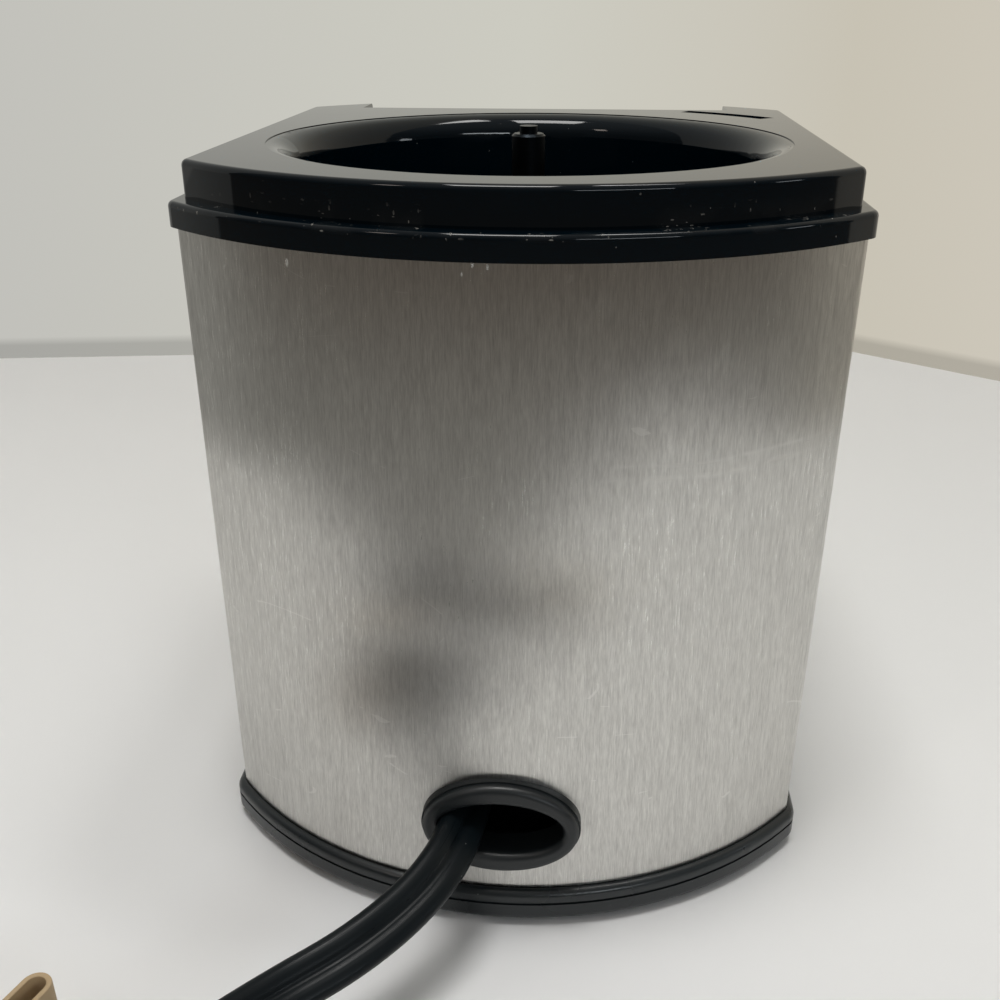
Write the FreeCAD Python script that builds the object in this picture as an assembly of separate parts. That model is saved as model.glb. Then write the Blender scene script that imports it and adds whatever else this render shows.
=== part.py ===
import FreeCAD, Part
import math
import os

# Motor base of a compact food chopper, in millimetres.
# +Z is up, -Y is the front with the control panel, +Y is the back with the cord.
# The origin is on the table, under the middle of the base ring.

# Work bowl's well, which the housing is laid out around
well_r = 46.4
well_y = 12.3
well_depth = 24.0
well_draft_deg = 4.0
well_lip_r = 4.5
well_crease_w = 0.25
well_crease_d = 0.15
well_floor_r = 8.0

# Housing seen from above: straight sides, front and back bowed out
deck_rim = 6.6
deck_w = 2 * (well_r + deck_rim)
deck_corner_in = 8.1
deck_corner_y = deck_w / 2 - deck_corner_in
deck_bow = 22.0
deck_corner_r = 2.0
flange_out = 2.25
flange_bow = 0.7
flange_corner_r = 3.6
sleeve_setback = 0.9
sleeve_corner_r = 3.0
sleeve_t = 0.8
sleeve_narrow = 1.55
sleeve_lean = 1.7
sleeve_lean_bow = 2.5
ring_out = 1.5

# Heights, from the table up
foot_h = 1.2
ring_h = 6.2
ledge_drop = 1.5
sleeve_show = 107.9
flange_h = 4.0
step_h = 6.1

# Walls, edge rounds and clearances of the housing
top_t = 2.4
wall_t = 2.2
skirt_h = 9.0
skirt_t = 3.2
step_round = 1.0
flange_round = 0.9
fit_gap = 0.3
ring_gap = 0.1
ring_top_round = 1.4
ring_foot_round = 1.3
bead_h = 2.2
bead_line_h = 0.5
bead_line_d = 0.35
floor_t = 2.4
upstand_h = 3.5
upstand_t = 1.6

# Spindle's boss in the well
boss_r = 9.0
boss_h = 6.0
boss_wall = 2.0

# Drive spindle
spindle_r = 3.0
spindle_proud = 0.8
spindle_chamfer = 0.4
tip_r = 1.6
tip_h = 1.3
flats_across = 4.6
flats_up = 7.5
flats_h = 6.5
relief_r = 2.2
relief_h = 0.8
run_gap = 0.04
seal_r = 6.5
seal_inset = 0.4
seal_h = 5.0
bush_wall = 2.0
bush_flange_r = 7.0
bush_flange_t = 1.0
bush_proud = 1.5
clip_drop = 0.5
clip_t = 0.8
clip_r = 5.0
clip_groove_r = 2.3
clip_slack = 0.05
spindle_tail = 2.0
washer_t = 0.8
washer_r = 7.5
end_gap = 0.2

# Gear pair, spur teeth with a corrected pinion
gear_module = 1.0
pinion_teeth = 12
gear_teeth = 48
tooth_shift = 0.3
pressure_deg = 20.0
backlash = 0.16
flank_steps = 4
gear_face = 8.0
gear_hub_r = 8.0
gear_hub_h = 12.4
gear_hub_up = 2.0
gear_web_t = 3.0
gear_rim_t = 3.0
gear_hole_r = 4.0
gear_hole_count = 6
pinion_face = 10.0
pinion_up = 2.0
pin_r = 1.0
pin_slack = 0.02
pin_short = 1.0

# Chassis hung under the deck
chassis_boss_h = 3.7
bridge_t = 2.5
post_h = 15.5
post_r = 4.0
post_x = 31.0
post_back_y = 25.0
post_front_y = -10.0
post_margin = 5.0
plate_t = 3.5
plate_corner_r = 5.0
plate_front = 28.0
chassis_boss_r = 9.0
spindle_boss_h = 6.0
motor_boss_h = 3.5
chassis_screw_r = 1.5
chassis_head_r = 2.8
chassis_head_h = 2.4
chassis_grip = 5.0
screw_slack = 0.2
pilot_slack = 0.05
screw_spare = 1.0
shaft_spare = 1.0

# Motor
motor_shaft_r = 2.5
motor_bush_wall = 2.0
stack_w = 52.0
motor_clear = 13.4
stack_corner_r = 10.0
stack_bore_r = 15.5
shoe_t = 2.7
pole_w = 17.0
yoke_side = 6.5
yoke_end = 5.0
pillar_h = 12.0
pillar_r = 4.5
coil_side = 6.2
coil_end = 5.0
coil_t = 4.1
coil_gap = 0.4
air_gap = 0.6
armature_short = 1.0
armature_slots = 10
slot_w = 2.4
slot_floor_r = 9.0
winding_r = 13.2
winding_core_r = 4.5
winding_top = 4.2
winding_foot = 5.5
winding_slack = 0.1
commutator_r = 8.0
commutator_h = 7.5
commutator_bars = 12
commutator_slit = 0.5
fan_r = 15.0
fan_hub_r = 5.0
fan_h = 3.6
fan_disc_t = 1.0
fan_blades = 9
fan_blade_t = 1.0
fan_under_boss = 0.7
bracket_t = 3.0
bracket_half_d = 9.0
bracket_leg_h = 16.0
bracket_leg_half_d = 7.0
bracket_leg_gap = 0.3
bracket_boss_r = 7.0
bracket_boss_h = 4.0
motor_bolt_r = 1.6
motor_bolt_head_r = 3.0
motor_bolt_head_h = 2.6
motor_bolt_inset = 3.2
card_t = 1.5
card_half_w = 17.0
card_half_d = 24.0
card_hole_r = 10.0
commutator_up = 1.0
holder_w = 8.0
holder_h = 7.0
holder_wall = 0.9
holder_near = 9.5
holder_len = 12.5
brush_gap = 0.15
brush_len = 9.0
brush_slack = 0.1

# Columns, feet and vents of the tray
column_in_x = 7.0
column_in_y = 3.9
column_r = 3.5
column_foot_z = 12.0
tray_boss_r = 4.5
base_screw_r = 1.2
base_head_r = 2.9
base_head_h = 2.0
base_head_well = 6.0
base_screw_grip = 12.0
foot_r = 6.0
foot_pocket = 1.0
foot_in_x = 19.0
foot_out_y = 3.1
vent_count = 7
vent_pitch = 6.0
vent_w = 3.0
vent_len = 34.0

# Cord grommet in the back of the sleeve
grommet_up = 13.4
grommet_hole_w = 21.2
grommet_hole_h = 10.5
grommet_neck_t = 1.2
grommet_lip = 2.95
grommet_lip_h = 3.9
grommet_proud = 2.3
grommet_edge = 0.3
grommet_edge_t = 0.6
grommet_back_lip = 2.0
grommet_back_t = 1.5
grommet_round = 1.15
grommet_slack = 0.1

# Sloped control panel between the deck's two ears
panel_ear = 12.0
panel_back_in = 1.4
panel_half_w = deck_w / 2 - panel_ear
panel_top_y = deck_corner_y - panel_back_in
panel_nose = 0.5
panel_t = 1.6
panel_margin = 3.0
panel_gap = 0.15
panel_floor_t = 2.0
panel_post_in = 5.8
panel_post_x = panel_half_w - panel_post_in
panel_post_v = 7.0
panel_post_r = 2.2
panel_tube_wall = 1.4
panel_screw_r = 0.95
panel_head_r = 2.0
panel_head_h = 1.4
panel_grip = 5.0
button_shift = 0.4
button_side_gap = 6.6
button_x = panel_post_x / 2 + button_shift
button_v = 8.8
button_w = panel_post_x - 2 * button_side_gap
button_d = 9.0
button_corner_r = 3.5
button_proud = 0.5
button_round = 0.8
button_gap = 0.35
button_rim = 1.0
button_rim_t = 1.2
button_stem_r = 2.2
button_stem_h = 3.0
button_travel = 1.2
switch_w = 6.0
switch_h = 3.5
board_in = 2.5
board_half_w = panel_half_w - board_in
board_near = 5.0
board_far = 3.5
board_near_v = button_v - board_near
board_far_v = button_v + board_far
board_t = 1.6
board_gap = 0.5

# Bowl interlock under the arc slot
slot_out = 14.6
slot_r = well_r + slot_out
slot_w_lock = 4.0
slot_from_deg = 219.0
slot_to_deg = 239.0
chute_wall = 1.6
chute_h = 8.0
plunger_gap = 0.35
plunger_drop = 2.0
plunger_foot_t = 2.4
plunger_foot_in = 2.0
interlock_travel = 3.0
lock_spring_h = 9.0
lock_spring_r = 2.0
lock_wire_r = 0.3
lock_spring_turns = 5
lock_spring_deg = 234.0
lock_switch_deg = 223.5
lock_switch_w = 6.0
lock_switch_d = 4.0
lock_key_r = 0.8
lock_key_h = 0.7
lock_plate_t = 2.0
lock_leg_in = 6.5
lock_leg_r = slot_r - lock_leg_in
lock_leg_t = 1.5
lock_boss_in = 4.5
lock_boss_r = lock_leg_r - lock_boss_in
lock_boss_wall = 3.2
lock_boss_h = 9.0
lock_foot_half_deg = 4.0
lock_screw_r = 1.2
lock_head_r = 2.2
lock_head_h = 1.5

# Cord clamp on the tray's floor
clamp_x = 6.0
clamp_in = 21.9
clamp_y = deck_corner_y + deck_bow - clamp_in
clamp_w = 24.0
clamp_d = 8.0
clamp_tunnel = 8.0
clamp_roof = 2.2
clamp_screw_x = 9.0
clamp_screw_r = 1.5
clamp_head_r = 2.8
clamp_head_h = 2.0
clamp_grip = 5.0

# Supply cord: a flat two-core lead, here as a round tube of the same section
cord_w = 7.9
cord_r = 2.85
cord_seat = 0.35
lead_steps = [
    (clamp_x, 0.0, 13.2),
    (6.0, 12.5, 17.0),
    (6.1, 24.5, 20.8),
    (7.4, 34.4, 20.3),
    (12.0, 43.9, 18.6),
    (20.2, 53.4, 16.8),
    (31.0, 60.6, 14.2),
    (42.5, 66.0, 8.6),
    (52.6, 70.2, 5.2),
    (61.5, 73.6, 5.2),
]
lead_route = [(x, clamp_y + y, z) for x, y, z in lead_steps]
tail_steps = [
    (0.0, 0.0, 0.0),
    (-8.5, 0.0, 0.0),
    (-17.0, 0.3, -2.2),
    (-26.0, 0.6, -5.3),
    (-34.0, 0.6, -7.5),
    (-41.0, 0.6, -7.5),
]
corner_share = 0.45

# Put-away coil of the cord, in two layers, and its tie
coil_inner_r = 25.4
coil_pitch = 6.4
coil_turns_in = 1.72
coil_soft = 0.1
coil_end_deg = 90.0
coil_rounds = 3
coil_layer = 8.4
least_gap = 0.4
tie_w = 10.0
tie_t = 0.9
tie_gap = 0.45
tie_deg = -58.0
ear_len = 22.0
ear_w = 5.0
ear_h = tie_w
ear_deg = 251.0

# Two-blade plug
boot_len = 20.0
boot_r = 4.6
plug_len = 25.0
plug_w = 24.0
plug_h = 12.0
plug_corner_r = 3.0
blade_len = 17.0
blade_t = 1.5
blade_w = 6.3
blade_spacing = 12.7
blade_root = 4.0

# Levels worked out from the heights
z_ring = foot_h + ring_h
z_ledge = z_ring - ledge_drop
z_flange = z_ring + sleeve_show
z_step = z_flange + flange_h
z_deck = z_step + step_h
z_tray_floor = foot_h + floor_t
z_lip = z_deck - well_crease_d
z_well = z_deck - well_depth
z_well_under = z_well - wall_t
z_boss = z_well + boss_h
z_bridge_top = z_well_under - chassis_boss_h
z_bridge = z_bridge_top - bridge_t
z_plate_top = z_bridge - post_h
z_plate = z_plate_top - plate_t
z_stack_top = z_plate - pillar_h
z_bracket = z_tray_floor + motor_clear
z_bracket_top = z_bracket + bracket_t
z_stack = z_bracket_top + bracket_leg_h
stack_h = z_stack_top - z_stack
armature_h = stack_h - 2 * armature_short
z_shoulder = z_deck + spindle_proud
z_grommet = z_ring + grommet_up
z_hub = z_plate_top + end_gap + washer_t
z_gear = z_hub + gear_hub_up
z_spindle_bush = z_plate - spindle_boss_h
z_clip = z_spindle_bush - clip_drop - clip_t
z_deck_under = z_deck - top_t
z_chute = z_deck_under - chute_h
z_plunger_foot = z_chute - fit_gap - plunger_foot_t
z_lock_plate = z_plunger_foot - lock_spring_h

# Places worked out from the sizes
gear_centres = gear_module * (pinion_teeth + gear_teeth) / 2
motor_y = well_y - gear_centres
deck_line = (deck_w / 2, deck_corner_y, deck_bow, deck_corner_r)
flange_line = (deck_w / 2 + flange_out, deck_corner_y + flange_out, deck_bow + flange_bow, flange_corner_r)
sleeve_top_line = (
    flange_line[0] - sleeve_setback,
    flange_line[1] - sleeve_setback,
    flange_line[2],
    sleeve_corner_r,
)
sleeve_foot_line = (
    sleeve_top_line[0] - sleeve_narrow,
    sleeve_top_line[1] + sleeve_lean,
    sleeve_top_line[2] + sleeve_lean_bow,
    sleeve_corner_r,
)
panel_slope_deg = math.degrees(math.atan2(step_h - panel_nose, deck_corner_y + deck_bow - panel_top_y))
rim_top_n = -(panel_t + fit_gap)
rim_foot_n = rim_top_n - button_rim_t
stem_foot_n = rim_foot_n - button_stem_h
switch_top_n = stem_foot_n - button_travel - fit_gap
board_top_n = switch_top_n - switch_h
board_foot_n = board_top_n - board_t
post_places = [(sx * post_x, y) for sx in (-1, 1) for y in (post_back_y, post_front_y)]
column_x = deck_w / 2 - column_in_x
column_y = deck_corner_y - column_in_y
foot_x = deck_w / 2 - foot_in_x
foot_y = deck_corner_y + foot_out_y
column_places = [(sx * column_x, sy * column_y) for sx in (-1, 1) for sy in (-1, 1)]
foot_places = [(sx * foot_x, sy * foot_y) for sx in (-1, 1) for sy in (-1, 1)]
bolt_x = stack_w / 2 - motor_bolt_inset
panel_posts = (-panel_post_x, 0.0, panel_post_x)
column_inset = sleeve_t + fit_gap
reach = 200.0


def vec(x, y, z=0.0):
    return FreeCAD.Vector(x, y, z)


def save(name, shape):
    shape.exportStep("parts/" + name + ".step")


def cyl(r, z0, z1, x=0.0, y=0.0):
    return Part.makeCylinder(r, z1 - z0, vec(x, y, z0))


def pipe(r_out, r_in, z0, z1, x=0.0, y=0.0):
    return cyl(r_out, z0, z1, x, y).cut(cyl(r_in, z0, z1, x, y))


def block(x0, x1, y0, y1, z0, z1):
    return Part.makeBox(x1 - x0, y1 - y0, z1 - z0, vec(x0, y0, z0))


def fuse_all(shapes):
    return shapes[0].multiFuse(shapes[1:]).removeSplitter()


def cut_all(shape, tools):
    return shape.cut(Part.makeCompound(tools))


def round_block(w, d, corner_r, z0, z1, x=0.0, y=0.0):
    solid = block(x - w / 2, x + w / 2, y - d / 2, y + d / 2, z0, z1)
    upright = [e for e in solid.Edges if e.BoundBox.ZLength > (z1 - z0) / 2]
    return solid.makeFillet(corner_r, upright)


def edges_at(solid, z):
    return [e for e in solid.Edges if abs(e.BoundBox.ZMin - z) < 1e-4 and abs(e.BoundBox.ZMax - z) < 1e-4]


def polar(r, deg, z=0.0):
    a = math.radians(deg)
    return vec(r * math.cos(a), well_y + r * math.sin(a), z)


def sector(r0, r1, deg0, deg1, z0, z1):
    mid = (deg0 + deg1) / 2
    edges = [
        Part.Arc(polar(r1, deg0, z0), polar(r1, mid, z0), polar(r1, deg1, z0)).toShape(),
        Part.LineSegment(polar(r1, deg1, z0), polar(r0, deg1, z0)).toShape(),
        Part.Arc(polar(r0, deg1, z0), polar(r0, mid, z0), polar(r0, deg0, z0)).toShape(),
        Part.LineSegment(polar(r0, deg0, z0), polar(r1, deg0, z0)).toShape(),
    ]
    return Part.Face(Part.Wire(edges)).extrude(vec(0, 0, z1 - z0))


# Housing outline: two straight sides, two bowed ends and four small corner arcs
def outline(line, z, inset=0.0):
    half_w, corner_y, bow, corner_r = line
    full_r = (half_w ** 2 + bow ** 2) / (2 * bow)
    centre_y = corner_y + bow - full_r
    a = half_w - inset
    big = full_r - inset
    small = max(corner_r - inset, 0.5)
    fx = a - small
    fy = centre_y + math.sqrt((big - small) ** 2 - fx ** 2)
    end = math.atan2(fy - centre_y, fx)
    tx = big * math.cos(end)
    ty = centre_y + big * math.sin(end)
    mx = fx + small * math.cos(end / 2)
    my = fy + small * math.sin(end / 2)
    apex = centre_y + big
    edges = [
        Part.LineSegment(vec(a, -fy, z), vec(a, fy, z)),
        Part.Arc(vec(a, fy, z), vec(mx, my, z), vec(tx, ty, z)),
        Part.Arc(vec(tx, ty, z), vec(0, apex, z), vec(-tx, ty, z)),
        Part.Arc(vec(-tx, ty, z), vec(-mx, my, z), vec(-a, fy, z)),
        Part.LineSegment(vec(-a, fy, z), vec(-a, -fy, z)),
        Part.Arc(vec(-a, -fy, z), vec(-mx, -my, z), vec(-tx, -ty, z)),
        Part.Arc(vec(-tx, -ty, z), vec(0, -apex, z), vec(tx, -ty, z)),
        Part.Arc(vec(tx, -ty, z), vec(mx, -my, z), vec(a, -fy, z)),
    ]
    return Part.Wire([e.toShape() for e in edges])


def prism(line, z0, z1, inset=0.0):
    return Part.Face(outline(line, z0, inset)).extrude(vec(0, 0, z1 - z0))


# Room inside the deck's skirt, less a gap
def inside_skirt(gap):
    return prism(sleeve_top_line, z_ring, z_deck, column_inset + skirt_t + gap)


def sleeve_loft(inset):
    wires = [outline(sleeve_foot_line, z_ledge, inset), outline(sleeve_top_line, z_flange, inset)]
    return Part.makeLoft(wires, True, True)


def oval(half_w, half_h, y0, y1):
    face = Part.Face(Part.Wire(Part.Ellipse(vec(0, 0, 0), half_w, half_h).toShape()))
    face.rotate(vec(0, 0, 0), vec(1, 0, 0), 90)
    face.translate(vec(0, y0, z_grommet))
    return face.extrude(vec(0, y1 - y0, 0))


# The panel's own frame: x across, y up the slope, z out of the slope
def on_panel(shape):
    placed = shape.copy()
    placed.rotate(vec(0, 0, 0), vec(1, 0, 0), panel_slope_deg)
    placed.translate(vec(0, -panel_top_y, z_deck))
    return placed


def panel_footprint(margin):
    inside = prism(deck_line, z_flange - step_h, z_deck + step_h, margin)
    half_w = panel_half_w - margin
    return inside.common(
        block(-half_w, half_w, -reach, -panel_top_y - margin, z_flange - step_h, z_deck + step_h)
    )


def panel_slab(margin):
    slab = on_panel(block(-panel_half_w, panel_half_w, -reach, 0, -panel_t, 0))
    return slab.common(panel_footprint(margin))


def button_places():
    return [(-button_x, -button_v), (button_x, -button_v)]


# Inside of the well as a solid of revolution: rolled lip, drafted wall, round floor
def well_space():
    d = math.radians(well_draft_deg)
    lip_z = z_lip - well_lip_r
    lip_end = (well_r - well_lip_r * math.cos(d), lip_z + well_lip_r * math.sin(d))
    half = math.radians(45 + well_draft_deg / 2)
    lip_mid = (well_r - well_lip_r * math.cos(half), lip_z + well_lip_r * math.sin(half))
    drop = (lip_end[1] + well_floor_r * math.sin(d) - z_well - well_floor_r) / math.cos(d)
    wall_end = (lip_end[0] - drop * math.sin(d), lip_end[1] - drop * math.cos(d))
    centre = (wall_end[0] - well_floor_r * math.cos(d), z_well + well_floor_r)
    turn = math.radians(45 + well_draft_deg / 2)
    floor_mid = (centre[0] + well_floor_r * math.cos(turn), centre[1] - well_floor_r * math.sin(turn))
    top = z_deck + well_lip_r
    crease_r = well_r + well_crease_w
    edges = [
        Part.LineSegment(vec(0, 0, top), vec(crease_r, 0, top)),
        Part.LineSegment(vec(crease_r, 0, top), vec(crease_r, 0, z_lip)),
        Part.LineSegment(vec(crease_r, 0, z_lip), vec(well_r, 0, z_lip)),
        Part.Arc(vec(well_r, 0, z_lip), vec(lip_mid[0], 0, lip_mid[1]), vec(lip_end[0], 0, lip_end[1])),
        Part.LineSegment(vec(lip_end[0], 0, lip_end[1]), vec(wall_end[0], 0, wall_end[1])),
        Part.Arc(vec(wall_end[0], 0, wall_end[1]), vec(floor_mid[0], 0, floor_mid[1]), vec(centre[0], 0, z_well)),
        Part.LineSegment(vec(centre[0], 0, z_well), vec(boss_r, 0, z_well)),
        Part.LineSegment(vec(boss_r, 0, z_well), vec(boss_r, 0, z_boss)),
        Part.LineSegment(vec(boss_r, 0, z_boss), vec(0, 0, z_boss)),
        Part.LineSegment(vec(0, 0, z_boss), vec(0, 0, top)),
    ]
    return revolve_on_spindle(edges)


def well_outside():
    d = math.radians(well_draft_deg)
    lip_end_r = well_r - well_lip_r * math.cos(d) + wall_t * math.cos(d)
    lip_end_z = z_lip - well_lip_r + (well_lip_r - wall_t) * math.sin(d)
    big = well_floor_r + wall_t
    drop = (lip_end_z + big * math.sin(d) - z_well_under - big) / math.cos(d)
    wall_end = (lip_end_r - drop * math.sin(d), lip_end_z - drop * math.cos(d))
    rise = (z_deck_under + top_t / 2 - lip_end_z) / math.cos(d)
    wall_top = (lip_end_r + rise * math.sin(d), z_deck_under + top_t / 2)
    centre_r = wall_end[0] - big * math.cos(d)
    turn = math.radians(45 + well_draft_deg / 2)
    mid = (centre_r + big * math.cos(turn), z_well_under + big - big * math.sin(turn))
    edges = [
        Part.LineSegment(vec(0, 0, wall_top[1]), vec(wall_top[0], 0, wall_top[1])),
        Part.LineSegment(vec(wall_top[0], 0, wall_top[1]), vec(wall_end[0], 0, wall_end[1])),
        Part.Arc(vec(wall_end[0], 0, wall_end[1]), vec(mid[0], 0, mid[1]), vec(centre_r, 0, z_well_under)),
        Part.LineSegment(vec(centre_r, 0, z_well_under), vec(0, 0, z_well_under)),
        Part.LineSegment(vec(0, 0, z_well_under), vec(0, 0, wall_top[1])),
    ]
    return revolve_on_spindle(edges)


def revolve_on_spindle(edges):
    face = Part.Face(Part.Wire([e.toShape() for e in edges]))
    solid = face.revolve(vec(0, 0, 0), vec(0, 0, 1), 360)
    solid.translate(vec(0, well_y, 0))
    return solid


def deck_shell():
    flange = prism(flange_line, z_flange, z_step)
    flange = flange.makeFillet(flange_round, edges_at(flange, z_step))
    step = prism(deck_line, z_step - flange_h / 2, z_deck)
    step = step.makeFillet(step_round, edges_at(step, z_deck))
    skirt = prism(sleeve_top_line, z_flange - skirt_h, z_flange + flange_h / 2, column_inset)
    cavity = prism(sleeve_top_line, z_flange - skirt_h, z_deck_under, column_inset + skirt_t)
    keep_n = -(panel_t + panel_floor_t)
    keep_w = panel_half_w + wall_t
    cavity = cavity.cut(on_panel(block(-keep_w, keep_w, -reach, top_t, keep_n, step_h)))
    return fuse_all([flange, step, skirt]).cut(cavity)


def deck_inner_forms():
    forms = [well_outside()]
    for x, y in column_places:
        forms.append(cyl(column_r, column_foot_z, z_deck_under + top_t / 2, x, y))
    for x, y in post_places:
        forms.append(cyl(post_r, z_bridge_top, z_well + well_floor_r, x, y))
    chute_deg = math.degrees(chute_wall / slot_r)
    inner = slot_r - slot_w_lock / 2 - chute_wall
    outer = slot_r + slot_w_lock / 2 + chute_wall
    chute = sector(inner, outer, slot_from_deg - chute_deg, slot_to_deg + chute_deg, z_chute, z_deck_under + top_t / 2)
    forms.append(chute.common(prism(sleeve_top_line, z_chute, z_deck, column_inset)))
    lock_boss = polar(lock_boss_r, lock_mid_deg())
    forms.append(cyl(lock_boss_wall, z_deck_under - lock_boss_h, z_deck_under + top_t / 2, lock_boss.x, lock_boss.y))
    tube_r = panel_post_r + fit_gap + panel_tube_wall
    for x in panel_posts:
        forms.append(on_panel(cyl(tube_r, board_top_n, -panel_t - panel_floor_t / 2, x, -panel_post_v)))
    return forms


def lock_mid_deg():
    return (slot_from_deg + slot_to_deg) / 2


def deck_cuts():
    cuts = [well_space()]
    cuts.append(on_panel(block(-panel_half_w, panel_half_w, -reach, 0, 0, reach)))
    cuts.append(panel_slab(panel_margin - panel_gap))
    for x, y in button_places():
        w = button_w + 2 * button_rim + 2 * button_gap
        d = button_d + 2 * button_rim + 2 * button_gap
        r = button_corner_r + button_rim
        cuts.append(on_panel(round_block(w, d, r, -panel_t - 2 * panel_floor_t, 0, x, y)))
    for x in panel_posts:
        cuts.append(on_panel(cyl(panel_post_r + fit_gap, board_top_n, 0, x, -panel_post_v)))
    cuts.append(cyl(spindle_r + 2 * fit_gap, z_well_under, z_deck, 0, well_y))
    cuts.append(cyl(seal_r, z_well_under, z_boss - boss_wall, 0, well_y))
    half = slot_w_lock / 2
    cuts.append(sector(slot_r - half, slot_r + half, slot_from_deg, slot_to_deg, z_chute, z_deck + top_t))
    for x, y in column_places:
        cuts.append(cyl(base_screw_r + pilot_slack, column_foot_z, column_foot_z + base_screw_grip + screw_spare, x, y))
    for x, y in post_places:
        cuts.append(cyl(chassis_screw_r + pilot_slack, z_bridge_top, z_bridge_top + chassis_grip, x, y))
    lock_boss = polar(lock_boss_r, lock_mid_deg())
    lock_z = z_deck_under - lock_boss_h
    cuts.append(cyl(lock_screw_r + pilot_slack, lock_z, lock_z + lock_boss_h - screw_spare, lock_boss.x, lock_boss.y))
    return cuts


def top_deck():
    return cut_all(fuse_all([deck_shell()] + deck_inner_forms()), deck_cuts())


def steel_sleeve():
    shell = sleeve_loft(0.0).cut(sleeve_loft(sleeve_t))
    half_w = grommet_hole_w / 2 + grommet_neck_t + grommet_slack
    half_h = grommet_hole_h / 2 + grommet_neck_t + grommet_slack
    return shell.cut(oval(half_w, half_h, 0, reach))


def back_y(z):
    share = (z - z_ledge) / (z_flange - z_ledge)
    foot = sleeve_foot_line[1] + sleeve_foot_line[2]
    top = sleeve_top_line[1] + sleeve_top_line[2]
    return foot + (top - foot) * share


def cord_grommet():
    hw = grommet_hole_w / 2
    hh = grommet_hole_h / 2
    wall = back_y(z_grommet)
    front = wall + grommet_proud
    bead = oval(hw + grommet_lip - grommet_edge, hh + grommet_lip_h - grommet_edge, 0, front)
    edge = oval(hw + grommet_lip, hh + grommet_lip_h, 0, wall + grommet_edge_t)
    lip = fuse_all([bead, edge]).cut(sleeve_loft(0.0))
    lip = max(lip.Solids, key=lambda s: s.BoundBox.YMax)
    back_w = hw + grommet_neck_t + grommet_back_lip
    back_h = hh + grommet_neck_t + grommet_back_lip
    full_r = (sleeve_foot_line[0] ** 2 + sleeve_foot_line[2] ** 2) / (2 * sleeve_foot_line[2])
    bend = back_w ** 2 / (2 * full_r)
    inside = wall - sleeve_t - bend - grommet_back_t
    back = oval(back_w, back_h, inside, front).common(sleeve_loft(sleeve_t))
    neck = oval(hw + grommet_neck_t, hh + grommet_neck_t, inside, front - grommet_round)
    whole = fuse_all([lip, back, neck]).cut(oval(hw, hh, 0, reach))
    rims = [e for e in whole.Edges if e.BoundBox.YMin > front - 1e-3]
    return whole.makeFillet(grommet_round, rims)


def slot_cut(x, y, w, length, z0, z1):
    half = (length - w) / 2
    return fuse_all([
        block(x - w / 2, x + w / 2, y - half, y + half, z0, z1),
        cyl(w / 2, z0, z1, x, y - half),
        cyl(w / 2, z0, z1, x, y + half),
    ])


def clamp_pad_top():
    return lead_route[0][2] - cord_r - cord_seat


def clamp_top():
    return clamp_pad_top() + clamp_tunnel + clamp_roof


def base_tray():
    ring = prism(sleeve_foot_line, foot_h, z_ring, -ring_out)
    ring = ring.makeFillet(ring_top_round, edges_at(ring, z_ring))
    ring = ring.makeFillet(ring_foot_round, edges_at(ring, foot_h))
    line_z = z_ring - bead_h
    around = prism(sleeve_foot_line, line_z - bead_line_h, line_z, -2 * ring_out)
    ring = ring.cut(around.cut(prism(sleeve_foot_line, line_z - bead_line_h, line_z, bead_line_d - ring_out)))
    lean = (sleeve_lean + sleeve_lean_bow) * upstand_h / (z_flange - z_ledge)
    outer_inset = column_inset + lean
    upstand = prism(sleeve_foot_line, foot_h + floor_t / 2, z_ledge + upstand_h, outer_inset)
    seat = prism(sleeve_foot_line, z_ledge, z_ring + upstand_h, -ring_gap).cut(
        prism(sleeve_foot_line, z_ledge, z_ring + upstand_h, outer_inset)
    )
    room = prism(sleeve_foot_line, z_tray_floor, z_ring + upstand_h, outer_inset + upstand_t)
    tray = fuse_all([ring, upstand]).cut(seat).cut(room)
    forms = [cyl(tray_boss_r, foot_h + floor_t / 2, column_foot_z, x, y) for x, y in column_places]
    forms.append(
        block(
            clamp_x - clamp_w / 2,
            clamp_x + clamp_w / 2,
            clamp_y - clamp_d / 2,
            clamp_y + clamp_d / 2,
            foot_h + floor_t / 2,
            clamp_pad_top(),
        )
    )
    cuts = []
    for x, y in column_places:
        cuts.append(cyl(base_head_r + screw_slack, foot_h, foot_h + base_head_well, x, y))
        cuts.append(cyl(base_screw_r + screw_slack, foot_h, column_foot_z, x, y))
    for x, y in foot_places:
        cuts.append(cyl(foot_r + pilot_slack, foot_h, foot_h + foot_pocket, x, y))
    for i in range(vent_count):
        x = (i - (vent_count - 1) / 2) * vent_pitch
        cuts.append(slot_cut(x, motor_y, vent_w, vent_len, foot_h, z_tray_floor))
    for side in (-1, 1):
        x = clamp_x + side * clamp_screw_x
        cuts.append(cyl(clamp_screw_r + pilot_slack, clamp_pad_top() - clamp_grip, clamp_pad_top(), x, clamp_y))
    return cut_all(fuse_all([tray] + forms), cuts)


def rubber_feet():
    return Part.makeCompound([cyl(foot_r, 0, foot_h + foot_pocket, x, y) for x, y in foot_places])


def screw(shank_r, head_r, head_h, z_seat, grip_end, x, y):
    return fuse_all([cyl(shank_r, z_seat, grip_end, x, y), cyl(head_r, z_seat - head_h, z_seat, x, y)])


def base_screws():
    seat = foot_h + base_head_well
    end = column_foot_z + base_screw_grip
    return Part.makeCompound(
        [screw(base_screw_r, base_head_r, base_head_h, seat, end, x, y) for x, y in column_places]
    )


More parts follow.
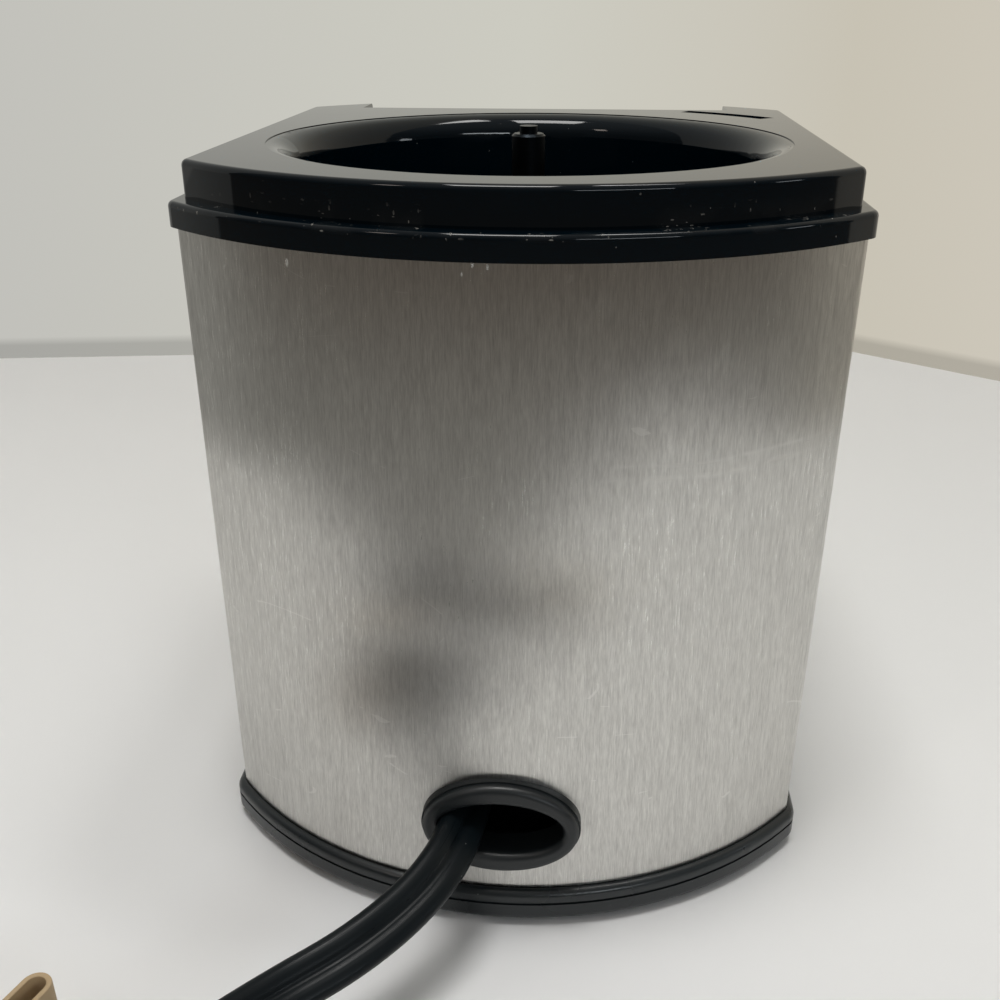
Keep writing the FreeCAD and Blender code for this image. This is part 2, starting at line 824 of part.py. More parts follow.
def control_panel():
    panel = panel_slab(panel_margin)
    posts = []
    for x in panel_posts:
        post = cyl(panel_post_r, board_top_n, -panel_t / 2, x, -panel_post_v)
        posts.append(on_panel(post))
    panel = fuse_all([panel] + posts)
    cuts = []
    for x, y in button_places():
        w = button_w + 2 * button_gap
        d = button_d + 2 * button_gap
        cuts.append(on_panel(round_block(w, d, button_corner_r + button_gap, -panel_t, 1.0, x, y)))
    for x in panel_posts:
        pilot = cyl(panel_screw_r + pilot_slack, board_top_n, board_top_n + panel_grip, x, -panel_post_v)
        cuts.append(on_panel(pilot))
    return cut_all(panel, cuts)


def button(x, y):
    cap = round_block(button_w, button_d, button_corner_r, rim_foot_n, button_proud, x, y)
    cap = cap.makeFillet(button_round, edges_at(cap, button_proud))
    rim_w = button_w + 2 * button_rim
    rim_d = button_d + 2 * button_rim
    rim = round_block(rim_w, rim_d, button_corner_r + button_rim, rim_foot_n, rim_top_n, x, y)
    stem = cyl(button_stem_r, stem_foot_n, rim_foot_n + button_rim_t / 2, x, y)
    return on_panel(fuse_all([cap, rim, stem]))


def control_board():
    board = block(-board_half_w, board_half_w, -board_far_v, -board_near_v, board_foot_n, board_top_n)
    holes = [cyl(panel_screw_r + screw_slack, board_foot_n, board_top_n, x, -panel_post_v) for x in panel_posts]
    placed = on_panel(cut_all(board, holes))
    return placed.common(inside_skirt(board_gap))


def button_switches():
    switches = []
    for x, y in button_places():
        half = switch_w / 2
        case = block(x - half, x + half, y - half, y + half, board_top_n, switch_top_n - switch_h / 4)
        key = cyl(button_stem_r / 2, board_top_n, switch_top_n, x, y)
        switches.append(on_panel(fuse_all([case, key])))
    return Part.makeCompound(switches)


def panel_screws():
    screws = []
    for x in panel_posts:
        end = board_top_n + panel_grip - pilot_slack
        one = screw(panel_screw_r, panel_head_r, panel_head_h, board_foot_n, end, x, -panel_post_v)
        screws.append(on_panel(one))
    return Part.makeCompound(screws)


def interlock_plunger():
    end_deg = math.degrees(plunger_gap / slot_r)
    half = slot_w_lock / 2 - plunger_gap
    start = slot_from_deg + end_deg
    stop = slot_to_deg - end_deg
    stalk = sector(slot_r - half, slot_r + half, start, stop, z_plunger_foot, z_deck - plunger_drop)
    foot = sector(
        slot_r - half - plunger_foot_in, slot_r + half, start, stop, z_plunger_foot, z_plunger_foot + plunger_foot_t
    )
    return fuse_all([stalk, foot]).common(inside_skirt(plunger_gap))


def lock_pad_r():
    return slot_r - plunger_foot_in / 2


def interlock_bracket():
    outer = slot_r + slot_w_lock / 2
    plate = sector(lock_leg_r, outer, slot_from_deg, slot_to_deg, z_lock_plate - lock_plate_t, z_lock_plate)
    foot_top = z_deck_under - lock_boss_h
    leg = sector(
        lock_leg_r, lock_leg_r + lock_leg_t, slot_from_deg, slot_to_deg, z_lock_plate - lock_plate_t, foot_top
    )
    mid = lock_mid_deg()
    foot = sector(
        lock_boss_r - lock_boss_wall,
        lock_leg_r + lock_leg_t,
        mid - lock_foot_half_deg,
        mid + lock_foot_half_deg,
        foot_top - lock_plate_t,
        foot_top,
    )
    place = polar(lock_boss_r, mid)
    hole = cyl(lock_screw_r + screw_slack, foot_top - lock_plate_t, foot_top, place.x, place.y)
    return fuse_all([plate, leg, foot]).cut(hole)


def interlock_screw():
    place = polar(lock_boss_r, lock_mid_deg())
    foot_top = z_deck_under - lock_boss_h
    end = foot_top + lock_boss_h - screw_spare - pilot_slack
    return screw(lock_screw_r, lock_head_r, lock_head_h, foot_top - lock_plate_t, end, place.x, place.y)


def interlock_switch():
    place = polar(lock_pad_r(), lock_switch_deg)
    key_top = z_plunger_foot - interlock_travel - fit_gap
    case_top = key_top - lock_key_h
    half_w = lock_switch_w / 2
    half_d = lock_switch_d / 2
    case = block(-half_d, half_d, -half_w, half_w, z_lock_plate, case_top)
    key = cyl(lock_key_r, z_lock_plate, key_top)
    whole = fuse_all([case, key])
    whole.rotate(vec(0, 0, 0), vec(0, 0, 1), lock_switch_deg)
    whole.translate(vec(place.x, place.y, 0))
    return whole


# Arc of a path that leaves p along t and ends at q
def arc_from(p, t, q):
    chord = q - p
    along = vec(chord.x, chord.y, chord.z).normalize()
    side = t - along * t.dot(along)
    if side.Length < 1e-6:
        return Part.LineSegment(p, q).toShape()
    side.normalize()
    angle = math.acos(max(-1.0, min(1.0, t.dot(along))))
    mid = p + chord * 0.5 + side * (chord.Length / 2 * math.tan(angle / 2))
    return Part.Arc(p, mid, q).toShape()


# Two arcs, tangent to each other, that join p to q with given directions
def biarc(p, t, q, u):
    v = q - p
    w = t + u
    flat = 2 * (1 - t.dot(u))
    if flat < 1e-9:
        d = v.dot(v) / (2 * v.dot(w))
    else:
        d = (-v.dot(w) + math.sqrt(v.dot(w) ** 2 + flat * v.dot(v))) / flat
    joint = (p + q + (t - u) * d) * 0.5
    back = arc_from(q, u * -1, joint)
    return [arc_from(p, t, joint), back]


def round_tube(edges, r, start, direction):
    path = Part.Wire(Part.sortEdges(edges)[0])
    ring = Part.Wire(Part.Circle(start, direction, r).toShape())
    shell = Part.BRepOffsetAPI.MakePipeShell(path)
    shell.add(ring)
    shell.build()
    shell.makeSolid()
    return Part.Solid(shell.shape())


def curve_tube(place, t0, t1, steps, r, stub):
    near = 1e-4

    def heading(t):
        return (place(t + near) - place(t - near)).normalize()

    edges = []
    begin = place(t0)
    first = heading(t0)
    if stub:
        edges.append(Part.LineSegment(begin - first * stub, begin).toShape())
    for i in range(steps):
        a = t0 + (t1 - t0) * i / steps
        b = t0 + (t1 - t0) * (i + 1) / steps
        edges += biarc(place(a), heading(a), place(b), heading(b))
    last = heading(t1)
    if stub:
        edges.append(Part.LineSegment(place(t1), place(t1) + last * stub).toShape())
    return round_tube(edges, r, begin - first * stub, first)


def self_gap(place, t0, t1, r, per_turn=48):
    count = int((t1 - t0) / (2 * math.pi) * per_turn)
    points = [place(t0 + (t1 - t0) * i / count) for i in range(count + 1)]
    apart = per_turn // 2
    gaps = [(p - q).Length for i, p in enumerate(points) for q in points[i + apart:]]
    return min(gaps) - 2 * r


def interlock_spring():
    axis = polar(lock_pad_r(), lock_spring_deg)
    low = z_lock_plate + lock_wire_r + fit_gap / 2
    rise = lock_spring_h - 2 * lock_wire_r - fit_gap
    full = 2 * math.pi * lock_spring_turns

    def place(t):
        x = axis.x + lock_spring_r * math.cos(t)
        y = axis.y + lock_spring_r * math.sin(t)
        return vec(x, y, low + rise * t / full)

    print("interlock spring self gap", round(self_gap(place, 0, full, lock_wire_r), 2))
    return curve_tube(place, 0, full, 2 * lock_spring_turns, lock_wire_r, 0.0)


def plate_with_corners(y0, y1, z0, z1):
    return round_block(2 * (post_x + post_margin), y1 - y0, plate_corner_r, z0, z1, 0, (y0 + y1) / 2)


def bush_r():
    return spindle_r + run_gap + bush_wall


def motor_bush_r():
    return motor_shaft_r + run_gap + motor_bush_wall


def gear_plate():
    forms = [plate_with_corners(motor_y - plate_front, post_back_y + post_margin, z_plate, z_plate_top)]
    forms.append(cyl(chassis_boss_r, z_spindle_bush, z_plate_top, 0, well_y))
    forms.append(cyl(chassis_boss_r, z_plate - motor_boss_h, z_plate_top, 0, motor_y))
    for x, y in post_places:
        forms.append(cyl(post_r, z_plate, z_bridge, x, y))
    for x in (-bolt_x, bolt_x):
        forms.append(cyl(pillar_r, z_stack_top, z_plate_top, x, motor_y))
    cuts = [cyl(bush_r(), z_spindle_bush, z_plate_top, 0, well_y)]
    cuts.append(cyl(motor_bush_r(), z_plate - motor_boss_h, z_plate_top, 0, motor_y))
    for x, y in post_places:
        cuts.append(cyl(chassis_screw_r + screw_slack, z_plate, z_bridge, x, y))
    for x in (-bolt_x, bolt_x):
        cuts.append(cyl(motor_bolt_r + pilot_slack, z_stack_top, z_plate_top, x, motor_y))
    return cut_all(fuse_all(forms), cuts)


def bridge_plate():
    plate = plate_with_corners(post_front_y - post_margin, post_back_y + post_margin, z_bridge, z_bridge_top)
    cuts = [cyl(bush_r(), z_bridge, z_bridge_top, 0, well_y)]
    for x, y in post_places:
        cuts.append(cyl(chassis_screw_r + screw_slack, z_bridge, z_bridge_top, x, y))
    return cut_all(plate, cuts)


def chassis_screws():
    end = z_bridge_top + chassis_grip - pilot_slack
    return Part.makeCompound(
        [screw(chassis_screw_r, chassis_head_r, chassis_head_h, z_plate, end, x, y) for x, y in post_places]
    )


def upper_spindle_bush():
    body = cyl(bush_r(), z_bridge, z_bridge_top + bush_proud, 0, well_y)
    collar = cyl(bush_flange_r, z_bridge - bush_flange_t, z_bridge, 0, well_y)
    bore = cyl(spindle_r + run_gap, z_bridge - bush_flange_t, z_bridge_top + bush_proud, 0, well_y)
    return fuse_all([body, collar]).cut(bore)


def lower_spindle_bush():
    return pipe(bush_r(), spindle_r + run_gap, z_spindle_bush, z_plate_top, 0, well_y)


def spindle_seal():
    foot = z_boss - boss_wall - seal_h
    return pipe(seal_r, spindle_r + run_gap, foot, z_boss - boss_wall, 0, well_y)


def spindle_shaft():
    foot = z_clip - spindle_tail
    column = cyl(spindle_r, foot, z_shoulder, 0, well_y)
    column = column.makeChamfer(spindle_chamfer, edges_at(column, z_shoulder))
    tip = cyl(tip_r, z_shoulder - spindle_chamfer, z_shoulder + tip_h, 0, well_y)
    shaft = fuse_all([column, tip])
    low = z_well + flats_up
    cuts = []
    for side in (-1, 1):
        near = well_y + side * flats_across / 2
        far = well_y + side * 2 * spindle_r
        cuts.append(block(-spindle_r, spindle_r, min(near, far), max(near, far), low, low + flats_h))
    cuts.append(pipe(2 * spindle_r, relief_r, low + flats_h - relief_h, low + flats_h, 0, well_y))
    cuts.append(pipe(2 * spindle_r, clip_groove_r, z_clip - clip_slack, z_clip + clip_t + clip_slack, 0, well_y))
    cuts.append(gear_pin_hole())
    return cut_all(shaft, cuts)


def gear_pin_z():
    return z_hub + gear_hub_h - 2 * pin_r


def gear_pin_hole():
    return Part.makeCylinder(
        pin_r + pin_slack, 2 * gear_hub_r, vec(-gear_hub_r, well_y, gear_pin_z()), vec(1, 0, 0)
    )


def gear_pin():
    length = 2 * gear_hub_r - pin_short
    return Part.makeCylinder(pin_r, length, vec(-length / 2, well_y, gear_pin_z()), vec(1, 0, 0))


def retaining_clip():
    ring = pipe(clip_r, clip_groove_r + clip_slack, z_clip, z_clip + clip_t, 0, well_y)
    return ring.cut(block(-clip_groove_r, clip_groove_r, well_y, well_y + 2 * clip_r, z_clip, z_clip + clip_t))


def thrust_washers():
    low = z_plate_top + end_gap
    high = z_hub + gear_hub_h
    hole = spindle_r + pin_slack
    return Part.makeCompound([
        pipe(washer_r, hole, low, low + washer_t, 0, well_y),
        pipe(washer_r, hole, high, high + washer_t, 0, well_y),
    ])


# Outline of a spur gear with involute flanks; the first tooth points along +X
def gear_wire(teeth, shift, z):
    pressure = math.radians(pressure_deg)
    ref_r = gear_module * teeth / 2
    base_r = ref_r * math.cos(pressure)
    tip = ref_r + gear_module * (1 + shift)
    root = ref_r - gear_module * (1.25 - shift)
    half = (math.pi / 2 + 2 * shift * math.tan(pressure)) / teeth - backlash / (4 * ref_r)
    spread = math.tan(pressure) - pressure
    start = max(base_r, root)
    flank = []
    for i in range(flank_steps + 1):
        r = start + (tip - start) * i / flank_steps
        a = math.acos(min(1.0, base_r / r))
        flank.append((r, half + spread - (math.tan(a) - a)))
    if root < start:
        flank.insert(0, (root, flank[0][1]))
    points = []
    for tooth in range(teeth):
        middle = 2 * math.pi * tooth / teeth
        side = [(r, middle - a) for r, a in flank] + [(r, middle + a) for r, a in reversed(flank)]
        points += [vec(r * math.cos(a), r * math.sin(a), z) for r, a in side]
    return Part.makePolygon(points + points[:1])


def spur(teeth, shift, z0, z1, turn_deg, y):
    solid = Part.Face(gear_wire(teeth, shift, z0)).extrude(vec(0, 0, z1 - z0))
    solid.rotate(vec(0, 0, 0), vec(0, 0, 1), turn_deg)
    solid.translate(vec(0, y, 0))
    return solid


def spindle_gear():
    half_pitch = 180.0 / gear_teeth
    body = spur(gear_teeth, -tooth_shift, z_gear, z_gear + gear_face, 270 + half_pitch, well_y)
    root = gear_module * (gear_teeth / 2 - 1.25 - tooth_shift)
    web = z_gear + (gear_face - gear_web_t) / 2
    pocket_r = root - gear_rim_t
    cuts = [
        pipe(pocket_r, gear_hub_r, z_gear, web, 0, well_y),
        pipe(pocket_r, gear_hub_r, web + gear_web_t, z_gear + gear_face, 0, well_y),
    ]
    hole_r = (pocket_r + gear_hub_r) / 2
    for i in range(gear_hole_count):
        place = polar(hole_r, 360.0 * i / gear_hole_count)
        cuts.append(cyl(gear_hole_r, z_gear, z_gear + gear_face, place.x, place.y))
    hub = cyl(gear_hub_r, z_hub, z_hub + gear_hub_h, 0, well_y)
    bore = cyl(spindle_r + pin_slack, z_hub, z_hub + gear_hub_h, 0, well_y)
    return cut_all(fuse_all([cut_all(body, cuts), hub]), [bore, gear_pin_hole()])


def drive_pinion():
    low = z_plate_top + pinion_up
    body = spur(pinion_teeth, tooth_shift, low, low + pinion_face, 90, motor_y)
    return body.cut(cyl(motor_shaft_r + pin_slack, low, low + pinion_face, 0, motor_y))


def coil_spans():
    far = stack_w / 2 - yoke_end - coil_gap
    inner = pole_w / 2 + coil_gap
    return inner, inner + coil_side, far - coil_t, far


# Room behind the pole shoes for the coils' sides
def coil_rooms():
    inner, outer, near, far = coil_spans()
    room = coil_gap / 2
    x0, x1, y0, y1 = inner - room, outer + room, near - room, far + room
    return [
        block(min(i * x0, i * x1), max(i * x0, i * x1), motor_y + min(j * y0, j * y1), motor_y + max(j * y0, j * y1),
              z_stack, z_stack_top)
        for i in (-1, 1) for j in (-1, 1)
    ]


def field_stack():
    core = round_block(stack_w, stack_w, stack_corner_r, z_stack, z_stack_top, 0, motor_y)
    half = stack_w / 2
    shoe = cyl(stack_bore_r + shoe_t, z_stack, z_stack_top, 0, motor_y)
    cuts = [cyl(stack_bore_r, z_stack, z_stack_top, 0, motor_y)]
    for side in (-1, 1):
        near = side * pole_w / 2
        far = side * (half - yoke_side)
        window_y = half - yoke_end
        window = block(
            min(near, far), max(near, far), motor_y - window_y, motor_y + window_y, z_stack, z_stack_top
        )
        cuts.append(window.cut(shoe))
        tip = pole_w / 4
        gap_near = side * stack_bore_r * 0.9
        cuts.append(
            block(min(gap_near, far), max(gap_near, far), motor_y - tip, motor_y + tip, z_stack, z_stack_top)
        )
        cuts.append(cyl(motor_bolt_r + screw_slack, z_stack, z_stack_top, side * bolt_x, motor_y))
    return cut_all(core, cuts + coil_rooms())


def field_coils():
    inner, outer, near, far = coil_spans()
    inner_w, outer_w = 2 * inner, 2 * outer
    low = z_stack - coil_gap
    high = z_stack_top + coil_gap
    coils = []
    for side in (-1, 1):
        y0 = motor_y + min(side * near, side * far)
        y1 = motor_y + max(side * near, side * far)
        ring = block(-outer_w / 2, outer_w / 2, y0, y1, low - coil_end, high + coil_end)
        across = [e for e in ring.Edges if e.BoundBox.YLength > coil_t / 2]
        ring = ring.makeFillet(coil_end * 0.9, across)
        coils.append(ring.cut(block(-inner_w / 2, inner_w / 2, y0, y1, low, high)))
    return Part.makeCompound(coils)


def lower_bracket():
    half = stack_w / 2
    leg_in = half - yoke_side + bracket_leg_gap
    forms = [
        block(-half, half, motor_y - bracket_half_d, motor_y + bracket_half_d, z_bracket, z_bracket_top),
        cyl(bracket_boss_r, z_bracket - bracket_boss_h, z_bracket_top, 0, motor_y),
    ]
    cuts = [cyl(motor_bush_r(), z_bracket - bracket_boss_h, z_bracket_top, 0, motor_y)]
    for side in (-1, 1):
        x0 = min(side * leg_in, side * half)
        x1 = max(side * leg_in, side * half)
        forms.append(
            block(x0, x1, motor_y - bracket_leg_half_d, motor_y + bracket_leg_half_d, z_bracket, z_stack)
        )
        cuts.append(cyl(motor_bolt_r + screw_slack, z_bracket, z_stack, side * bolt_x, motor_y))
    return cut_all(fuse_all(forms), cuts)


def motor_bolts():
    end = z_plate_top - pilot_slack
    return Part.makeCompound([
        screw(motor_bolt_r, motor_bolt_head_r, motor_bolt_head_h, z_bracket, end, x, motor_y)
        for x in (-bolt_x, bolt_x)
    ])


def upper_motor_bush():
    return pipe(motor_bush_r(), motor_shaft_r + run_gap, z_plate - motor_boss_h, z_plate_top, 0, motor_y)


def lower_motor_bush():
    return pipe(motor_bush_r(), motor_shaft_r + run_gap, z_bracket - bracket_boss_h, z_bracket_top, 0, motor_y)


def z_card_top():
    return z_bracket_top + card_t


def brush_card():
    card = block(
        -card_half_w, card_half_w, motor_y - card_half_d, motor_y + card_half_d, z_bracket_top, z_card_top()
    )
    return card.cut(cyl(card_hole_r, z_bracket_top, z_card_top(), 0, motor_y))


def brush_box(half_w, half_h, near, length):
    middle = z_card_top() + holder_h / 2
    boxes = []
    for side in (-1, 1):
        y0 = motor_y + min(side * near, side * (near + length))
        boxes.append(block(-half_w, half_w, y0, y0 + length, middle - half_h, middle + half_h))
    return boxes


def brush_holders():
    outer = brush_box(holder_w / 2, holder_h / 2, holder_near, holder_len)
    inner = brush_box(holder_w / 2 - holder_wall, holder_h / 2 - holder_wall, holder_near, holder_len)
    return Part.makeCompound([o.cut(i) for o, i in zip(outer, inner)])


def carbon_brushes():
    half_w = holder_w / 2 - holder_wall - brush_slack
    half_h = holder_h / 2 - holder_wall - brush_slack
    return Part.makeCompound(brush_box(half_w, half_h, commutator_r + brush_gap, brush_len))


def motor_shaft():
    top = z_plate_top + pinion_up + pinion_face + shaft_spare
    return cyl(motor_shaft_r, z_bracket - bracket_boss_h - shaft_spare, top, 0, motor_y)


def armature_low():
    return z_stack + (stack_h - armature_h) / 2


def armature_slot(width, r0, r1, deg):
    bar = block(r0, r1, -width / 2, width / 2, armature_low(), armature_low() + armature_h)
    bar.rotate(vec(0, 0, 0), vec(0, 0, 1), deg)
    bar.translate(vec(0, motor_y, 0))
    return bar


def slot_degrees():
    return [360.0 * (i + 0.5) / armature_slots for i in range(armature_slots)]


def armature_core():
    low = armature_low()
    core = pipe(stack_bore_r - air_gap, motor_shaft_r + pin_slack, low, low + armature_h, 0, motor_y)
    return cut_all(core, [armature_slot(slot_w, slot_floor_r, stack_bore_r, deg) for deg in slot_degrees()])


def armature_winding():
    low = armature_low()
    high = low + armature_h
    top = pipe(winding_r, winding_core_r, high, high + winding_top, 0, motor_y)
    top = top.makeFillet(winding_top * 0.45, edges_at(top, high + winding_top))
    foot = pipe(winding_r, winding_core_r, low - winding_foot, low, 0, motor_y)
    foot = foot.makeFillet(winding_foot * 0.45, edges_at(foot, low - winding_foot))
    width = slot_w - 2 * winding_slack
    bars = [armature_slot(width, slot_floor_r + winding_slack, winding_r, deg) for deg in slot_degrees()]
    return fuse_all([top, foot] + bars)


def commutator():
    low = z_card_top() + commutator_up
    drum = pipe(commutator_r, motor_shaft_r + pin_slack, low, low + commutator_h, 0, motor_y)
    slits = []
    for i in range(commutator_bars):
        half = commutator_slit / 2
        slit = block(commutator_r - 2 * half, 2 * commutator_r, -half, half, low, low + commutator_h)
        slit.rotate(vec(0, 0, 0), vec(0, 0, 1), 360.0 * (i + 0.5) / commutator_bars)
        slit.translate(vec(0, motor_y, 0))
        slits.append(slit)
    return cut_all(drum, slits)


def cooling_fan():
    high = z_plate - motor_boss_h - fan_under_boss
    low = high - fan_h
    forms = [cyl(fan_hub_r, low, high, 0, motor_y), cyl(fan_r, low, low + fan_disc_t, 0, motor_y)]
    for i in range(fan_blades):
        blade = block(0, fan_r - fan_blade_t, -fan_blade_t / 2, fan_blade_t / 2, low, high)
        blade.rotate(vec(0, 0, 0), vec(0, 0, 1), 360.0 * i / fan_blades)
        blade.translate(vec(0, motor_y, 0))
        forms.append(blade)
    return fuse_all(forms).cut(cyl(motor_shaft_r + pin_slack, low, high, 0, motor_y))


def cord_clamp():
    low = clamp_pad_top()
    roof = clamp_top()
    half_d = clamp_d / 2
    bar = block(clamp_x - clamp_w / 2, clamp_x + clamp_w / 2, clamp_y - half_d, clamp_y + half_d, low, roof)
    tunnel_half = cord_w / 2 + cord_seat
    tunnel = block(
        clamp_x - tunnel_half, clamp_x + tunnel_half, clamp_y - half_d, clamp_y + half_d, low, roof - clamp_roof
    )
    holes = [
        cyl(clamp_screw_r + screw_slack, low, roof, clamp_x + side * clamp_screw_x, clamp_y) for side in (-1, 1)
    ]
    return cut_all(bar, [tunnel] + holes)


def clamp_screws():
    roof = clamp_top()
    foot = clamp_pad_top() - clamp_grip + pilot_slack
    screws = []
    for side in (-1, 1):
        x = clamp_x + side * clamp_screw_x
        shank = cyl(clamp_screw_r, foot, roof, x, clamp_y)
        head = cyl(clamp_head_r, roof, roof + clamp_head_h, x, clamp_y)
        screws.append(fuse_all([shank, head]))
    return Part.makeCompound(screws)


# Straight runs joined by arcs as large as the runs allow
def rounded_route(name, points):
    points = [vec(*p) for p in points]
    edges = []
    here = points[0]
    radii = []
    for before, corner, after in zip(points, points[1:], points[2:]):
        back = before - corner
        on = after - corner
        cut = corner_share * min(back.Length, on.Length)
        p = corner + back.normalize() * cut
        q = corner + on.normalize() * cut
        turn = math.pi - back.getAngle(on)
        radius = cut / math.tan(turn / 2)
        mid_way = (p + q) * 0.5 - corner
        centre = corner + mid_way.normalize() * math.hypot(radius, cut)
        mid = centre + (corner - centre).normalize() * radius
        edges.append(Part.LineSegment(here, p).toShape())
        edges.append(Part.Arc(p, mid, q).toShape())
        radii.append(round(radius, 1))
        here = q
    edges.append(Part.LineSegment(here, points[-1]).toShape())
    print(name, "bend radii", radii)
    return edges


def route_tube(name, points):
    edges = rounded_route(name, points)
    start = vec(*points[0])
    solid = round_tube(edges, cord_r, start, vec(*points[1]) - start)
    length = sum(e.Length for e in edges)
    print(name, "length", round(length, 1), "volume ratio", round(solid.Volume / (math.pi * cord_r ** 2 * length), 3))
    return solid


# The coil's radius a number of turns before or after its innermost point
def coil_radius(off):
    return coil_inner_r + coil_pitch * (math.sqrt(off ** 2 + coil_soft ** 2) - coil_soft)


def coil_facts():
    end = vec(*lead_route[-1])
    heading = (end - vec(*lead_route[-2])).normalize()
    start_r = coil_radius(-coil_turns_in)
    inward = coil_pitch / (2 * math.pi) * coil_turns_in / math.hypot(coil_turns_in, coil_soft)
    first = math.atan2(heading.y, heading.x) - math.pi / 2 - math.atan2(inward, start_r)
    begin = end + heading * (2 * cord_r)
    centre = vec(begin.x - start_r * math.cos(first), begin.y - start_r * math.sin(first), begin.z)
    last = math.radians(coil_end_deg) + 2 * math.pi * coil_rounds
    return centre, first, last


def coil_place(t):
    centre, first, last = coil_facts()
    middle = first + 2 * math.pi * coil_turns_in
    r = coil_radius((t - middle) / (2 * math.pi))
    climb = min(1.0, max(0.0, (t - middle) / math.pi + 0.5))
    z = centre.z + coil_layer * climb ** 2 * (3 - 2 * climb)
    return vec(centre.x + r * math.cos(t), centre.y + r * math.sin(t), z)


def cord_coil():
    centre, first, last = coil_facts()
    gap = self_gap(coil_place, first, last, cord_r)
    print("coil centre", round(centre.x, 2), round(centre.y, 2), "start", round(math.degrees(first), 2))
    print("coil self gap", round(gap, 2), "wanted over", least_gap)
    quarters = int(round((last - first) / (math.pi / 2)))
    solid = curve_tube(coil_place, first, last, quarters, cord_r, 2 * cord_r)
    print("coil length", round(solid.Volume / (math.pi * cord_r ** 2), 1))
    return solid


def coil_finish():
    centre, first, last = coil_facts()
    near = 1e-4
    heading = (coil_place(last) - coil_place(last - near)).normalize()
    return coil_place(last) + heading * (2 * cord_r), heading


def tail_route():
    end, heading = coil_finish()
    turn = math.atan2(heading.y, heading.x) - math.pi
    points = []
    for x, y, z in tail_steps:
        dx = x * math.cos(turn) - y * math.sin(turn)
        dy = x * math.sin(turn) + y * math.cos(turn)
        points.append((end.x + dx, end.y + dy, end.z + z))
    return points


# Radii of all the turns that pass under one angle
def radii_at(deg):
    centre, first, last = coil_facts()
    middle = first + 2 * math.pi * coil_turns_in
    turns = [math.radians(deg) + 2 * math.pi * i for i in range(-1, coil_rounds + 1)]
    return [coil_radius((t - middle) / (2 * math.pi)) for t in turns if first <= t <= last]


# A flat band around all the turns, drawn up against them
def cord_tie():
    centre, first, last = coil_facts()
    half_cord = cord_w / 2
    inside = min(radii_at(tie_deg)) - cord_r
    r0 = math.sqrt(inside ** 2 - (tie_w / 2) ** 2) - tie_gap
    r1 = max(radii_at(tie_deg)) + cord_r + tie_gap
    z0 = centre.z - half_cord - tie_gap / 2
    z1 = centre.z + coil_layer + half_cord + tie_gap / 2
    half_w = tie_w / 2
    outer = block(r0 - tie_t, r1 + tie_t, -half_w, half_w, z0 - tie_t, z1 + tie_t)
    outer = outer.makeFillet(2 * tie_t, [e for e in outer.Edges if e.BoundBox.YLength > half_w])
    inner = block(r0, r1, -half_w, half_w, z0, z1)
    inner = inner.makeFillet(tie_t, [e for e in inner.Edges if e.BoundBox.YLength > half_w])
    band = outer.cut(inner)
    band.rotate(vec(0, 0, 0), vec(0, 0, 1), tie_deg)
    band.translate(vec(centre.x, centre.y, 0))
    a = math.radians(tie_deg)
    root = vec(centre.x + r1 * math.cos(a), centre.y + r1 * math.sin(a), z0 - tie_t)
    return fuse_all([band, tie_ear(root, vec(math.cos(a), math.sin(a)))])


# Slack end of the band: a narrow loop that stands on its edge
def tie_ear(root, out):
    half = ear_w / 2
    loop = fuse_all([block(0, ear_len - half, -half, half, 0, ear_h), cyl(half, 0, ear_h, ear_len - half)])
    near = half - tie_t
    inside = fuse_all([block(0, ear_len - half, -near, near, 0, ear_h), cyl(near, 0, ear_h, ear_len - half)])
    loop = loop.cut(inside)
    loop.rotate(vec(0, 0, 0), vec(0, 0, 1), ear_deg)
    loop.translate(root)
    clear = block(0, ear_len + tie_w, -reach, reach, -1, ear_h + 1)
    clear.rotate(vec(0, 0, 0), vec(0, 0, 1), math.degrees(math.atan2(out.y, out.x)))
    clear.translate(root)
    return loop.common(clear)


# The plug is built along +X from the cord's end and then turned into place
def place_plug(shape):
    route = tail_route()
    end = vec(*route[-1])
    run = end - vec(*route[-2])
    placed = shape.copy()
    placed.rotate(vec(0, 0, 0), vec(0, 0, 1), math.degrees(math.atan2(run.y, run.x)))
    placed.translate(end)
    return placed


def plug_body():
    boot = Part.makeCone(cord_r + cord_seat, boot_r, boot_len, vec(0, 0, 0), vec(1, 0, 0))
    body = block(boot_len, boot_len + plug_len, -plug_w / 2, plug_w / 2, -plug_h / 2, plug_h / 2)
    along = [e for e in body.Edges if e.BoundBox.XLength > plug_len / 2]
    body = body.makeFillet(plug_corner_r, along)
    rear = [
        e for e in body.Edges if e.BoundBox.XMax < boot_len + 1e-4
    ]
    body = body.makeFillet(plug_corner_r * 0.8, rear)
    sockets = []
    for side in (-1, 1):
        y = side * blade_spacing / 2
        sockets.append(blade_block(y))
    return place_plug(cut_all(fuse_all([boot, body]), sockets))


def blade_block(y):
    x0 = boot_len + plug_len - blade_root
    return block(x0, x0 + blade_root + blade_len, y - blade_t / 2, y + blade_t / 2, -blade_w / 2, blade_w / 2)


def plug_blades():
    return place_plug(Part.makeCompound([blade_block(side * blade_spacing / 2) for side in (-1, 1)]))


